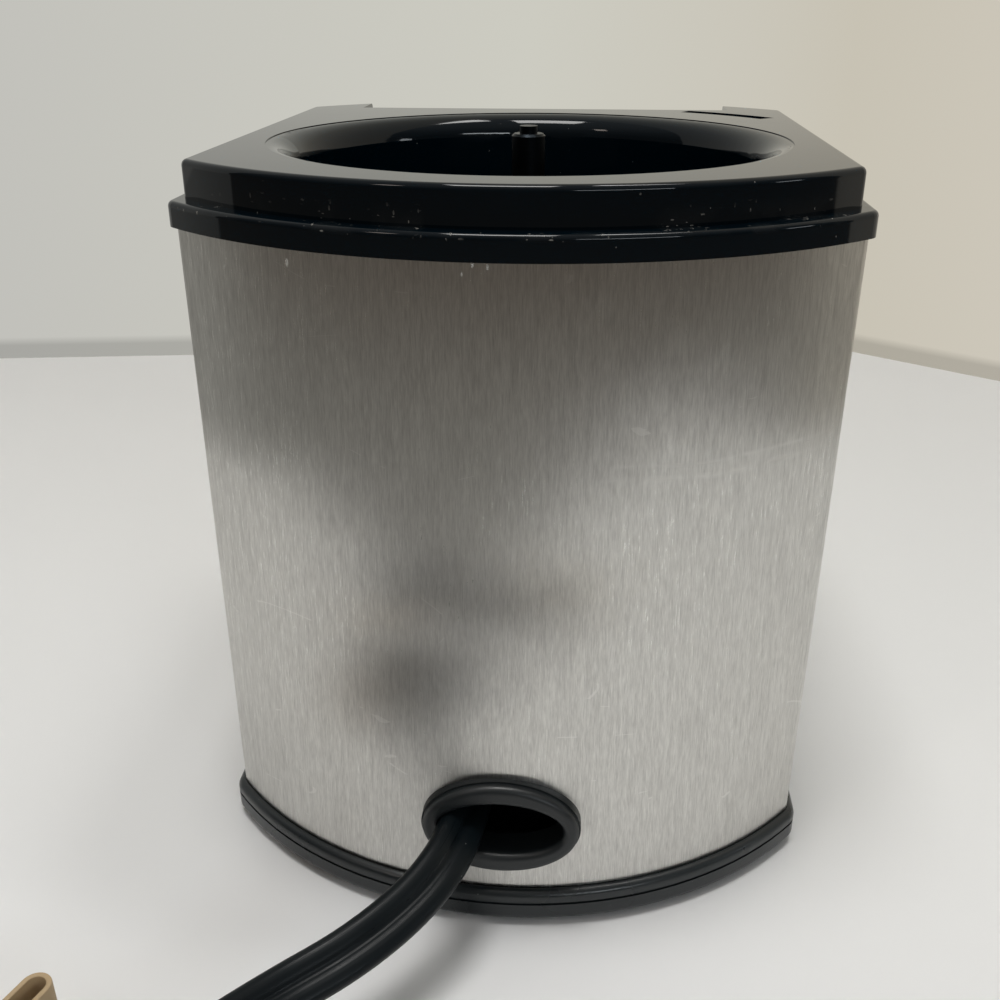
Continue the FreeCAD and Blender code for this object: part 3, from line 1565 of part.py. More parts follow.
pieces = {
    "top_deck": top_deck,
    "steel_sleeve": steel_sleeve,
    "base_tray": base_tray,
    "rubber_feet": rubber_feet,
    "base_screws": base_screws,
    "cord_grommet": cord_grommet,
    "control_panel": control_panel,
    "chop_button": lambda: button(*button_places()[0]),
    "grind_button": lambda: button(*button_places()[1]),
    "control_board": control_board,
    "button_switches": button_switches,
    "panel_screws": panel_screws,
    "interlock_plunger": interlock_plunger,
    "interlock_spring": interlock_spring,
    "interlock_bracket": interlock_bracket,
    "interlock_screw": interlock_screw,
    "interlock_switch": interlock_switch,
    "gear_plate": gear_plate,
    "bridge_plate": bridge_plate,
    "chassis_screws": chassis_screws,
    "upper_spindle_bush": upper_spindle_bush,
    "lower_spindle_bush": lower_spindle_bush,
    "spindle_seal": spindle_seal,
    "spindle_shaft": spindle_shaft,
    "spindle_gear": spindle_gear,
    "gear_pin": gear_pin,
    "retaining_clip": retaining_clip,
    "thrust_washers": thrust_washers,
    "drive_pinion": drive_pinion,
    "motor_shaft": motor_shaft,
    "armature_core": armature_core,
    "armature_winding": armature_winding,
    "commutator": commutator,
    "cooling_fan": cooling_fan,
    "field_stack": field_stack,
    "field_coils": field_coils,
    "lower_bracket": lower_bracket,
    "upper_motor_bush": upper_motor_bush,
    "lower_motor_bush": lower_motor_bush,
    "motor_bolts": motor_bolts,
    "brush_card": brush_card,
    "brush_holders": brush_holders,
    "carbon_brushes": carbon_brushes,
    "cord_clamp": cord_clamp,
    "clamp_screws": clamp_screws,
    "supply_cord": lambda: route_tube("supply cord", lead_route),
    "cord_coil": cord_coil,
    "plug_lead": lambda: route_tube("plug lead", tail_route()),
    "cord_tie": cord_tie,
    "plug_body": plug_body,
    "plug_blades": plug_blades,
}

os.makedirs("parts", exist_ok=True)
for name, make in pieces.items():
    save(name, make())
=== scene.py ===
import math
import bpy
from mathutils import Matrix, Vector


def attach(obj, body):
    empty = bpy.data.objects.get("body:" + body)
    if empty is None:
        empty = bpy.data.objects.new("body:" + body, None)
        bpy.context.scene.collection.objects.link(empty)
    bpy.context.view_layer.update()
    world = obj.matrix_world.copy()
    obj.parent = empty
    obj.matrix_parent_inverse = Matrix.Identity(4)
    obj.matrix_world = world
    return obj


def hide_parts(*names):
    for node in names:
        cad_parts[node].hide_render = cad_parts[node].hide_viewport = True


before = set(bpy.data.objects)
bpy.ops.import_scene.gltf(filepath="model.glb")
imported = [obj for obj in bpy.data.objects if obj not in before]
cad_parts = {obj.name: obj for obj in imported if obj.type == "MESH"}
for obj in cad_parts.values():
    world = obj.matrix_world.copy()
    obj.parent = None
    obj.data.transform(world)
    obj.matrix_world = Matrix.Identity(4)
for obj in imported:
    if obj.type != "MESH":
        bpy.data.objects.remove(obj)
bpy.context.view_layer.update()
print("frame loaded")

mm = 0.001
fullTurn = 2 * math.pi


def addObject(name, data):
    item = bpy.data.objects.new(name, data)
    bpy.context.scene.collection.objects.link(item)
    return item


# camera, as the photograph was taken: from behind and a little above
cameraView = {
    "place": (-0.01225, 0.2225, 0.1490),
    "forward": (0.0752, -0.9082, -0.412),
    "right": (-0.9966, -0.0825, 0.0),
    "lens": 40.3,
    "sensor": 36.0,
    "clipStart": 0.01,
}


def placeCamera(view):
    forward = Vector(view["forward"]).normalized()
    right = Vector(view["right"]).normalized()
    up = right.cross(forward)
    data = bpy.data.cameras.new("backCamera")
    data.lens = view["lens"]
    data.sensor_width = view["sensor"]
    data.clip_start = view["clipStart"]
    camera = addObject("backCamera", data)
    turn = Matrix((right, up, -forward)).transposed().to_4x4()
    camera.matrix_world = Matrix.Translation(Vector(view["place"])) @ turn
    bpy.context.scene.camera = camera


placeCamera(cameraView)
bpy.context.scene.view_settings.view_transform = "Standard"
print("camera placed")


# small helpers for node trees
def addNode(tree, kind, **values):
    node = tree.nodes.new("ShaderNode" + kind)
    for key, value in values.items():
        setattr(node, key, value)
    return node


def feed(tree, node, name, value):
    socket = node.inputs[name]
    if hasattr(value, "is_output"):
        tree.links.new(value, socket)
    else:
        socket.default_value = value
    return node


def mathNode(tree, operation, *values):
    node = addNode(tree, "Math", operation=operation)
    for i, value in enumerate(values):
        feed(tree, node, i, value)
    return node.outputs[0]


def times(tree, first, *others):
    for value in others:
        first = mathNode(tree, "MULTIPLY", first, value)
    return first


def largest(tree, first, *others):
    for value in others:
        first = mathNode(tree, "MAXIMUM", first, value)
    return first


def ranged(tree, value, low, high, toLow, toHigh):
    node = addNode(tree, "MapRange", clamp=True)
    for name, number in (("From Min", low), ("From Max", high), ("To Min", toLow), ("To Max", toHigh)):
        feed(tree, node, name, number)
    feed(tree, node, "Value", value)
    return node.outputs["Result"]


# a noise stays mostly in the middle of its range, so that middle is spread over the wanted span
noiseSpan = (0.3, 0.7)


def spread(tree, value, toLow=0.0, toHigh=1.0):
    return ranged(tree, value, *noiseSpan, toLow, toHigh)


def mixColors(tree, factor, first, second):
    node = addNode(tree, "Mix", data_type="RGBA")
    feed(tree, node, 0, factor)
    for socket, color in ((6, first), (7, second)):
        feed(tree, node, socket, color if hasattr(color, "is_output") else (*color, 1))
    return node.outputs[2]


def colorRamp(tree, value, stops):
    node = addNode(tree, "ValToRGB")
    elements = node.color_ramp.elements
    while len(elements) < len(stops):
        elements.new(0.5)
    for element, (place, color) in zip(elements, stops):
        element.position = place
        element.color = (*color, 1)
    feed(tree, node, "Fac", value)
    return node.outputs["Color"]


def mixShaders(tree, factor, first, second):
    node = addNode(tree, "MixShader")
    for i, value in enumerate((factor, first, second)):
        feed(tree, node, i, value)
    return node.outputs[0]


def objectPlace(tree):
    return addNode(tree, "TexCoord").outputs["Object"]


def splitPlace(tree, place):
    return feed(tree, addNode(tree, "SeparateXYZ"), 0, place).outputs


def scaledPlace(tree, source, scale, turn=(0, 0, 0)):
    node = addNode(tree, "Mapping")
    feed(tree, node, "Vector", source)
    feed(tree, node, "Scale", scale)
    feed(tree, node, "Rotation", turn)
    return node.outputs["Vector"]


def noiseAt(tree, place, scale, detail=2.0, rough=0.5, distortion=0.0):
    node = addNode(tree, "TexNoise")
    feed(tree, node, "Vector", place)
    feed(tree, node, "Scale", scale)
    feed(tree, node, "Detail", detail)
    feed(tree, node, "Roughness", rough)
    feed(tree, node, "Distortion", distortion)
    return node.outputs["Fac"]


def newGroup(name, inputs, outputs):
    tree = bpy.data.node_groups.new(name, "ShaderNodeTree")
    for label, kind, start in inputs:
        socket = tree.interface.new_socket(name=label, in_out="INPUT", socket_type=kind)
        if start is not None:
            socket.default_value = start
    for label in outputs:
        tree.interface.new_socket(name=label, in_out="OUTPUT", socket_type="NodeSocketFloat")
    return tree, tree.nodes.new("NodeGroupInput").outputs, tree.nodes.new("NodeGroupOutput")


def useGroup(tree, group, **values):
    node = addNode(tree, "Group", node_tree=group)
    for name, value in values.items():
        feed(tree, node, name, value)
    return node


number = "NodeSocketFloat"
vector = "NodeSocketVector"


# dust and lint: sparse specks and short fibres
def dustGroup():
    tree, given, out = newGroup(
        "dustSpecks",
        [("Place", vector, None), ("Scale", number, 600.0), ("Amount", number, 0.2), ("Size", number, 0.18)],
        ["Mask"],
    )
    cells = addNode(tree, "TexVoronoi")
    feed(tree, cells, "Vector", given["Place"])
    feed(tree, cells, "Scale", given["Scale"])
    pick = addNode(tree, "SeparateColor")
    feed(tree, pick, "Color", cells.outputs["Color"])
    chosen = mathNode(tree, "LESS_THAN", pick.outputs[0], given["Amount"])
    reach = times(tree, given["Size"], pick.outputs[1])
    near = mathNode(tree, "LESS_THAN", cells.outputs["Distance"], reach)
    feed(tree, out, "Mask", times(tree, chosen, near))
    return tree


# smudges from hands and cloths, in soft patches
smudgeLook = {"detail": 4.0, "rough": 0.6, "span": (0.42, 0.72)}


def smudgeGroup(look):
    tree, given, out = newGroup("handSmudges", [("Place", vector, None), ("Scale", number, 40.0)], ["Mask"])
    broad = noiseAt(tree, given["Place"], given["Scale"], look["detail"], look["rough"])
    feed(tree, out, "Mask", ranged(tree, broad, *look["span"], 0.0, 1.0))
    return tree


# moulded surface: very fine pebble with slight tone changes
grainLook = {"detail": 3.0, "fineRough": 0.6, "toneScale": 60.0, "toneRough": 0.5}


def mouldGroup(look):
    tree, given, out = newGroup(
        "mouldGrain", [("Place", vector, None), ("Scale", number, 2500.0)], ["Height", "Tone"]
    )
    feed(tree, out, "Height", noiseAt(tree, given["Place"], given["Scale"], look["detail"], look["fineRough"]))
    feed(tree, out, "Tone", noiseAt(tree, given["Place"], look["toneScale"], look["detail"], look["toneRough"]))
    return tree


# brushed sheet metal: fine hairlines of uneven length along Z, each as scale, detail and roughness
hairLook = {"Fine": (1.0, 3.0, 0.65), "Coarse": (0.27, 2.0, 0.5)}


def brushGroup(look):
    tree, given, out = newGroup(
        "brushedGrain",
        [("Place", vector, None), ("Across", number, 3000.0), ("Along", number, 90.0)],
        list(look),
    )
    stretch = addNode(tree, "CombineXYZ")
    for axis, name in (("X", "Across"), ("Y", "Across"), ("Z", "Along")):
        feed(tree, stretch, axis, given[name])
    fitted = addNode(tree, "VectorMath", operation="MULTIPLY")
    feed(tree, fitted, 0, given["Place"])
    feed(tree, fitted, 1, stretch.outputs[0])
    for name, values in look.items():
        feed(tree, out, name, noiseAt(tree, fitted.outputs[0], *values))
    return tree


# handling scratches: a few thin wandering lines in patches
scratchLook = {"detail": 1.0, "wander": 0.6, "patchScale": 75.0, "patchDetail": 3.0, "patchRough": 0.6}


def scratchGroup(look):
    tree, given, out = newGroup(
        "handlingScratches",
        [("Place", vector, None), ("Scale", number, 40.0), ("Width", number, 0.012), ("Cover", number, 0.62)],
        ["Mask"],
    )
    bands = noiseAt(tree, given["Place"], given["Scale"], look["detail"], distortion=look["wander"])
    offLine = mathNode(tree, "ABSOLUTE", mathNode(tree, "SUBTRACT", bands, 0.5))
    thin = mathNode(tree, "LESS_THAN", offLine, given["Width"])
    patches = noiseAt(tree, given["Place"], look["patchScale"], look["patchDetail"], look["patchRough"])
    shown = mathNode(tree, "GREATER_THAN", patches, given["Cover"])
    feed(tree, out, "Mask", times(tree, thin, shown))
    return tree


dustSpecks = dustGroup()
handSmudges = smudgeGroup(smudgeLook)
mouldGrain = mouldGroup(grainLook)
brushedGrain = brushGroup(hairLook)
handlingScratches = scratchGroup(scratchLook)
print("surface effects ready")


def newMaterial(name, color, rough, metal=0.0):
    material = bpy.data.materials.new(name)
    material.use_nodes = True
    shader = material.node_tree.nodes["Principled BSDF"]
    shader.inputs["Base Color"].default_value = (*color, 1)
    shader.inputs["Roughness"].default_value = rough
    shader.inputs["Metallic"].default_value = metal
    return material, material.node_tree, shader


def bumpFrom(tree, shader, height, strength, distance):
    bump = addNode(tree, "Bump")
    feed(tree, bump, "Strength", strength)
    feed(tree, bump, "Distance", distance)
    feed(tree, bump, "Height", height)
    feed(tree, shader, "Normal", bump.outputs["Normal"])


def speckMask(tree, place, stretch=None, turn=(0, 0, 0), **values):
    if stretch:
        place = scaledPlace(tree, place, stretch, turn)
    return useGroup(tree, dustSpecks, Place=place, **values).outputs["Mask"]


def smudgeMask(tree, place, scale):
    return useGroup(tree, handSmudges, Place=place, Scale=scale).outputs["Mask"]


# glossy black deck: smudged polish, fine lint low on the step and along its ledge
deckLook = {
    "color": (0.0003, 0.0034, 0.0062),
    "dust": (0.52, 0.50, 0.46),
    "rough": (0.035, 0.10),
    "shine": 0.26,
    "smudgeScale": 45.0,
    "specks": {"Scale": 1300.0, "Amount": 0.018, "Size": 0.22},
    "upright": {"stretch": (1.0, 1.0, 0.4), "turn": (0.5, 0.4, 0.0), "Scale": 1900.0, "Amount": 0.20, "Size": 0.42},
    "lying": {"stretch": (0.45, 0.45, 1.2), "turn": (-0.6, 0.3, 0.0), "Scale": 2100.0, "Amount": 0.20, "Size": 0.42},
    "lintRise": (0.1182, 0.1186),
    "lintFall": (0.1194, 0.1226),
    "lintOut": 0.047,
    "patchScale": 110.0,
    "patchSpan": (0.47, 0.58),
    "speckTone": 0.22,
    "lintTone": 0.55,
    "filmTone": 0.012,
    "dustRough": 0.8,
    "rippleScale": 60.0,
    "ripple": (0.006, 0.0004),
}


def deckMaterial(look):
    material, tree, shader = newMaterial("deckGloss", look["color"], look["rough"][0])
    shader.inputs["Specular IOR Level"].default_value = look["shine"]
    place = objectPlace(tree)
    x, y, z = splitPlace(tree, place)
    rise = ranged(tree, z, *look["lintRise"], 0.0, 1.0)
    fall = ranged(tree, z, *look["lintFall"], 1.0, 0.0)
    patchy = ranged(tree, noiseAt(tree, place, look["patchScale"], 3.0), *look["patchSpan"], 0.0, 1.0)
    reach = mathNode(tree, "SQRT", mathNode(tree, "MULTIPLY_ADD", x, x, times(tree, y, y)))
    outside = mathNode(tree, "GREATER_THAN", reach, look["lintOut"])
    onStep = times(tree, rise, fall, patchy, outside)
    specks = speckMask(tree, place, **look["specks"])
    fibres = largest(tree, speckMask(tree, place, **look["upright"]), speckMask(tree, place, **look["lying"]))
    dust = largest(tree, times(tree, specks, look["speckTone"]), times(tree, fibres, onStep, look["lintTone"]))
    film = times(tree, onStep, look["filmTone"])
    feed(tree, shader, "Base Color", mixColors(tree, largest(tree, dust, film), look["color"], look["dust"]))
    polish = ranged(tree, smudgeMask(tree, place, look["smudgeScale"]), 0.0, 1.0, *look["rough"])
    feed(tree, shader, "Roughness", largest(tree, polish, times(tree, dust, look["dustRough"])))
    bumpFrom(tree, shader, noiseAt(tree, place, look["rippleScale"]), *look["ripple"])
    return material


# brushed steel: upright hairlines, a few faint handling scratches,
# two rub marks across the grain on the right and a little lint under the flange
steelLook = {
    "color": (0.745, 0.735, 0.70),
    "dark": (0.475, 0.465, 0.445),
    "scratch": (0.80, 0.79, 0.76),
    "lint": (0.62, 0.61, 0.57),
    "plainRough": 0.3,
    "rough": (0.26, 0.33),
    "stretch": 0.93,
    "grain": {"Across": 5200.0, "Along": 360.0},
    "fineShare": 0.7,
    "coarseShare": 0.3,
    "scratchStretch": (1.0, 1.0, 3.2),
    "scratchTurn": (0.0, 0.25, 0.0),
    "scratches": {"Scale": 22.0, "Width": 0.0035, "Cover": 0.60},
    "scratchTone": 0.45,
    "rubs": [(0.0826, 0.0007), (0.0848, 0.0005)],
    "rubRise": (-0.052, -0.044),
    "rubFall": (-0.024, -0.012),
    "wanderScale": 45.0,
    "wander": 0.0024,
    "breakScale": 260.0,
    "breaks": (0.40, 0.60, 0.15, 1.0),
    "rubTone": 0.6,
    "fibres": {"stretch": (1.0, 1.0, 0.45), "turn": (0.0, 0.6, 0.0), "Scale": 1100.0, "Amount": 0.06, "Size": 0.32},
    "lintAbove": 0.1105,
    "lintTone": 0.8,
    "smudgeScale": 28.0,
    "smudgeRough": 0.03,
    "markRough": 0.15,
    "bump": (0.013, 0.0001),
}


def rubMarks(tree, look, place):
    x, y, z = splitPlace(tree, place)
    wander = mathNode(
        tree, "MULTIPLY_ADD", noiseAt(tree, place, look["wanderScale"]), look["wander"], -look["wander"] / 2
    )
    level = mathNode(tree, "ADD", z, wander)
    lines = []
    for height, width in look["rubs"]:
        off = mathNode(tree, "ABSOLUTE", mathNode(tree, "SUBTRACT", level, height))
        lines.append(ranged(tree, off, 0.0, width, 1.0, 0.0))
    rise = ranged(tree, x, *look["rubRise"], 0.0, 1.0)
    fall = ranged(tree, x, *look["rubFall"], 1.0, 0.0)
    broken = ranged(tree, noiseAt(tree, place, look["breakScale"], 3.0), *look["breaks"])
    return times(tree, largest(tree, *lines), rise, fall, broken)


def steelMaterial(look):
    material, tree, shader = newMaterial("sleeveBrushedSteel", look["color"], look["plainRough"], 1.0)
    place = objectPlace(tree)
    grain = useGroup(tree, brushedGrain, Place=place, **look["grain"]).outputs
    coarse = times(tree, spread(tree, grain["Coarse"]), look["coarseShare"])
    hairs = mathNode(tree, "MULTIPLY_ADD", spread(tree, grain["Fine"]), look["fineShare"], coarse)
    turned = scaledPlace(tree, place, look["scratchStretch"], look["scratchTurn"])
    scratches = useGroup(tree, handlingScratches, Place=turned, **look["scratches"]).outputs["Mask"]
    rubs = times(tree, rubMarks(tree, look, place), look["rubTone"])
    marks = largest(tree, times(tree, scratches, look["scratchTone"]), rubs)
    high = mathNode(tree, "GREATER_THAN", splitPlace(tree, place)[2], look["lintAbove"])
    fibres = times(tree, speckMask(tree, place, **look["fibres"]), high)
    toned = mixColors(tree, hairs, look["dark"], look["color"])
    marked = mixColors(tree, marks, toned, look["scratch"])
    linted = mixColors(tree, times(tree, fibres, look["lintTone"]), marked, look["lint"])
    feed(tree, shader, "Base Color", linted)
    feed(tree, shader, "Metallic", mathNode(tree, "SUBTRACT", 1.0, fibres))
    smooth, dull = look["rough"]
    worn = mathNode(tree, "MULTIPLY_ADD", marks, look["markRough"], ranged(tree, hairs, 0.0, 1.0, dull, smooth))
    smudge = smudgeMask(tree, place, look["smudgeScale"])
    feed(tree, shader, "Roughness", mathNode(tree, "MULTIPLY_ADD", smudge, look["smudgeRough"], worn))
    shader.inputs["Anisotropic"].default_value = look["stretch"]
    feed(tree, shader, "Tangent", addNode(tree, "Tangent", direction_type="RADIAL", axis="Z").outputs[0])
    bumpFrom(tree, shader, hairs, *look["bump"])
    return material


# moulded and rubber pieces share one build with their own values
mouldedLook = {
    "specks": {"Scale": 1300.0, "Size": 0.22},
    "lighter": (1.7, 0.004),
    "dust": (0.42, 0.41, 0.39),
    "dustTone": 0.25,
    "bumpDistance": 0.0002,
}


def mouldedMaterial(name, color, rough, grainScale, grainDepth, dustAmount):
    look = mouldedLook
    material, tree, shader = newMaterial(name, color, rough[0])
    place = objectPlace(tree)
    grain = useGroup(tree, mouldGrain, Place=place, Scale=grainScale).outputs
    gain, lift = look["lighter"]
    toned = mixColors(tree, grain["Tone"], color, tuple(c * gain + lift for c in color))
    specks = speckMask(tree, place, Amount=dustAmount, **look["specks"])
    feed(tree, shader, "Base Color", mixColors(tree, times(tree, specks, look["dustTone"]), toned, look["dust"]))
    feed(tree, shader, "Roughness", spread(tree, grain["Tone"], *rough))
    bumpFrom(tree, shader, grain["Height"], grainDepth, look["bumpDistance"])
    return material


# plain engineering finishes of the pieces inside
machinedLook = {
    "detail": 3.0,
    "lineRough": 0.6,
    "deeper": 0.72,
    "duller": 0.08,
    "smoother": 0.05,
    "bump": (0.1, 0.0001),
}


def machinedMaterial(name, color, rough, metal, turnLines):
    look = machinedLook
    material, tree, shader = newMaterial(name, color, rough, metal)
    place = scaledPlace(tree, objectPlace(tree), turnLines)
    lines = noiseAt(tree, place, 1.0, look["detail"], look["lineRough"])
    deeper = tuple(c * look["deeper"] for c in color)
    feed(tree, shader, "Base Color", mixColors(tree, spread(tree, lines), deeper, color))
    feed(tree, shader, "Roughness", spread(tree, lines, rough + look["duller"], rough - look["smoother"]))
    bumpFrom(tree, shader, lines, *look["bump"])
    return material


# wound copper: fine parallel strands
copperLook = {
    "color": (0.56, 0.22, 0.09),
    "deeper": 0.45,
    "strands": 380.0,
    "distortion": 1.5,
    "detail": 2.0,
    "plainRough": 0.3,
    "rough": (0.5, 0.28),
    "bump": (0.5, 0.0002),
}


def copperMaterial(look):
    material, tree, shader = newMaterial("woundCopper", look["color"], look["plainRough"], 1.0)
    wave = addNode(tree, "TexWave", wave_type="BANDS", bands_direction="Z")
    feed(tree, wave, "Vector", objectPlace(tree))
    feed(tree, wave, "Scale", look["strands"])
    feed(tree, wave, "Distortion", look["distortion"])
    feed(tree, wave, "Detail", look["detail"])
    strand = wave.outputs["Fac"]
    deeper = tuple(c * look["deeper"] for c in look["color"])
    feed(tree, shader, "Base Color", mixColors(tree, strand, deeper, look["color"]))
    feed(tree, shader, "Roughness", ranged(tree, strand, 0.0, 1.0, *look["rough"]))
    bumpFrom(tree, shader, strand, *look["bump"])
    return material


# cord jacket: satin vinyl with faint lengthwise drawing lines, on its own map
cordLook = {
    "color": (0.0042, 0.0068, 0.0085),
    "dust": (0.4, 0.39, 0.37),
    "plainRough": 0.34,
    "rough": (0.26, 0.38),
    "shine": 0.18,
    "lines": (14.0, 3000.0, 1.0),
    "scuffScale": 120.0,
    "scuffRough": 0.12,
    "specks": {"Scale": 1300.0, "Amount": 0.03, "Size": 0.22},
    "dustTone": 0.25,
    "bump": (0.15, 0.0002),
    "map": "alongCord",
}


def cordMaterial(look):
    material, tree, shader = newMaterial("cordVinyl", look["color"], look["plainRough"])
    shader.inputs["Specular IOR Level"].default_value = look["shine"]
    own = addNode(tree, "UVMap", uv_map=look["map"]).outputs[0]
    drawn = noiseAt(tree, scaledPlace(tree, own, look["lines"]), 1.0)
    place = objectPlace(tree)
    dusty = times(tree, speckMask(tree, place, **look["specks"]), look["dustTone"])
    feed(tree, shader, "Base Color", mixColors(tree, dusty, look["color"], look["dust"]))
    scuff = smudgeMask(tree, place, look["scuffScale"])
    rough = mathNode(tree, "MULTIPLY_ADD", scuff, look["scuffRough"], spread(tree, drawn, *look["rough"]))
    feed(tree, shader, "Roughness", rough)
    bumpFrom(tree, shader, drawn, *look["bump"])
    return material


# tan rubber of the tie
tieLook = {
    "color": (0.52, 0.38, 0.22),
    "deeper": 0.78,
    "plainRough": 0.55,
    "rough": (0.5, 0.65),
    "grainScale": 900.0,
    "bump": (0.25, 0.0003),
}


def tieMaterial(look):
    material, tree, shader = newMaterial("tieBandTan", look["color"], look["plainRough"])
    grain = useGroup(tree, mouldGrain, Place=objectPlace(tree), Scale=look["grainScale"]).outputs
    deeper = tuple(c * look["deeper"] for c in look["color"])
    feed(tree, shader, "Base Color", mixColors(tree, grain["Tone"], deeper, look["color"]))
    feed(tree, shader, "Roughness", spread(tree, grain["Height"], *look["rough"]))
    bumpFrom(tree, shader, grain["Height"], *look["bump"])
    return material


# material name, colour, roughness span, grain scale, grain depth, share of dust
mouldedKinds = {
    "trayBlack": ("traySatinBlack", (0.0062, 0.0092, 0.0108), (0.24, 0.36), 2200.0, 0.10, 0.02),
    "panelBlack": ("panelSatinBlack", (0.018, 0.018, 0.019), (0.22, 0.32), 2600.0, 0.08, 0.03),
    "buttonGrey": ("buttonGrey", (0.085, 0.086, 0.09), (0.35, 0.5), 2400.0, 0.15, 0.02),
    "grommetRubber": ("grommetRubber", (0.0052, 0.0074, 0.0086), (0.32, 0.44), 1500.0, 0.12, 0.03),
    "footRubber": ("footRubber", (0.030, 0.030, 0.030), (0.6, 0.75), 1200.0, 0.3, 0.05),
    "sealRubber": ("sealRubber", (0.025, 0.022, 0.022), (0.5, 0.6), 1800.0, 0.2, 0.02),
    "switchPlastic": ("switchPlastic", (0.045, 0.045, 0.05), (0.4, 0.5), 2200.0, 0.15, 0.02),
    "carbon": ("pressedCarbon", (0.020, 0.020, 0.022), (0.55, 0.7), 3000.0, 0.3, 0.0),
    "plugVinyl": ("plugVinyl", (0.013, 0.013, 0.014), (0.34, 0.46), 1400.0, 0.15, 0.04),
}
# material name, colour, roughness, metal, line scale along each axis
machinedKinds = {
    "nylon": ("naturalNylon", (0.74, 0.72, 0.66), 0.45, 0.0, (400.0, 400.0, 400.0)),
    "boardGreen": ("boardLaminate", (0.035, 0.14, 0.06), 0.35, 0.0, (900.0, 300.0, 300.0)),
    "cardBrown": ("cardLaminate", (0.23, 0.11, 0.045), 0.5, 0.0, (700.0, 250.0, 250.0)),
    "screwSteel": ("platedSteel", (0.56, 0.56, 0.57), 0.3, 1.0, (500.0, 500.0, 3000.0)),
    "plainSteel": ("brightSteel", (0.50, 0.50, 0.51), 0.28, 1.0, (400.0, 400.0, 2500.0)),
    "spindleSteel": ("blackenedSteel", (0.013, 0.016, 0.019), 0.34, 1.0, (250.0, 250.0, 4000.0)),
    "castAlloy": ("castAlloy", (0.60, 0.60, 0.61), 0.45, 1.0, (700.0, 700.0, 700.0)),
    "lamination": ("stackedSheet", (0.25, 0.25, 0.26), 0.42, 1.0, (120.0, 120.0, 3500.0)),
    "bronze": ("sinteredBronze", (0.50, 0.33, 0.14), 0.4, 1.0, (1500.0, 1500.0, 1500.0)),
    "brass": ("stampedBrass", (0.68, 0.52, 0.24), 0.28, 1.0, (300.0, 300.0, 1800.0)),
    "commutator": ("turnedCopper", (0.60, 0.30, 0.16), 0.25, 1.0, (200.0, 200.0, 4000.0)),
}
finishes = {
    "deckGloss": deckMaterial(deckLook),
    "sleeveSteel": steelMaterial(steelLook),
    "copper": copperMaterial(copperLook),
    "cordVinyl": cordMaterial(cordLook),
    "tieTan": tieMaterial(tieLook),
    **{kind: mouldedMaterial(*values) for kind, values in mouldedKinds.items()},
    **{kind: machinedMaterial(*values) for kind, values in machinedKinds.items()},
}

nodeFinish = {
    "deckGloss": ["top_deck"],
    "sleeveSteel": ["steel_sleeve"],
    "trayBlack": ["base_tray"],
    "panelBlack": ["control_panel"],
    "buttonGrey": ["chop_button", "grind_button"],
    "grommetRubber": ["cord_grommet"],
    "footRubber": ["rubber_feet"],
    "sealRubber": ["spindle_seal"],
    "switchPlastic": ["button_switches", "interlock_switch"],
    "carbon": ["carbon_brushes"],
    "nylon": ["spindle_gear", "cooling_fan", "interlock_plunger", "cord_clamp"],
    "boardGreen": ["control_board"],
    "cardBrown": ["brush_card"],
    "screwSteel": [
        "base_screws", "panel_screws", "interlock_screw", "chassis_screws", "motor_bolts", "clamp_screws",
    ],
    "plainSteel": [
        "interlock_bracket", "interlock_spring", "bridge_plate", "gear_pin", "retaining_clip", "motor_shaft",
        "drive_pinion",
    ],
    "spindleSteel": ["spindle_shaft"],
    "castAlloy": ["gear_plate", "lower_bracket"],
    "lamination": ["field_stack", "armature_core"],
    "bronze": [
        "upper_spindle_bush", "lower_spindle_bush", "upper_motor_bush", "lower_motor_bush", "thrust_washers",
    ],
    "brass": ["brush_holders", "plug_blades"],
    "copper": ["field_coils", "armature_winding"],
    "commutator": ["commutator"],
    "plugVinyl": ["plug_body"],
}

for kind, nodes in nodeFinish.items():
    for name in nodes:
        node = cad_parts[name]
        node.data.materials.clear()
        node.data.materials.append(finishes[kind])
print("finishes on the fixed pieces")


# small helpers for meshes
def deselectAll():
    if bpy.context.object and bpy.context.object.mode != "OBJECT":
        bpy.ops.object.mode_set(mode="OBJECT")
    bpy.ops.object.select_all(action="DESELECT")


def selectOnly(piece):
    deselectAll()
    piece.select_set(True)
    bpy.context.view_layer.objects.active = piece


def faceOutward():
    bpy.ops.object.mode_set(mode="EDIT")
    bpy.ops.mesh.select_all(action="SELECT")
    bpy.ops.mesh.normals_make_consistent(inside=False)
    bpy.ops.object.mode_set(mode="OBJECT")


def eased(share):
    share = min(1.0, max(0.0, share))
    return share * share * (3 - 2 * share)


# supply cord: a flat two-core lead on one smooth line, from its clamp to the plug;
# section and map in metres, its line in millimetres
cordLay = {
    "width": 0.0079,
    "lobe": 0.0020,
    "groove": 0.0011,
    "square": 0.75,
    "sectionEnd": 126,
    "sectionStep": 18,
    "mapWidth": 0.02,
    "lead": [
        (6.0, 45.0, 13.2), (6.0, 57.5, 17.0), (6.1, 69.5, 20.8), (7.4, 79.4, 20.3), (12.0, 88.9, 18.6),
        (20.2, 98.4, 16.8), (31.0, 105.6, 14.2), (42.5, 111.0, 8.6), (52.6, 115.2, 5.2), (61.5, 118.6, 5.2),
    ],
    "tail": [(-8.5, 0.0, 0.0), (-17.0, 0.3, -2.2), (-26.0, 0.6, -5.3), (-34.0, 0.6, -7.5), (-41.0, 0.6, -7.5)],
    "tailLength": 49.0,
    "stub": 5.7,
    "innerRadius": 25.4,
    "pitch": 6.4,
    "turnsIn": 1.72,
    "soft": 0.1,
    "layer": 8.4,
    "endTurn": 90.0,
    "rounds": 3,
    "pointsPerTurn": 16,
    "lineSteps": 8,
    "leadRoll": -36.0,
    "coilRoll": -90.0,
    "rollFrom": 0.68,
    "unrollBy": 1.4,
}


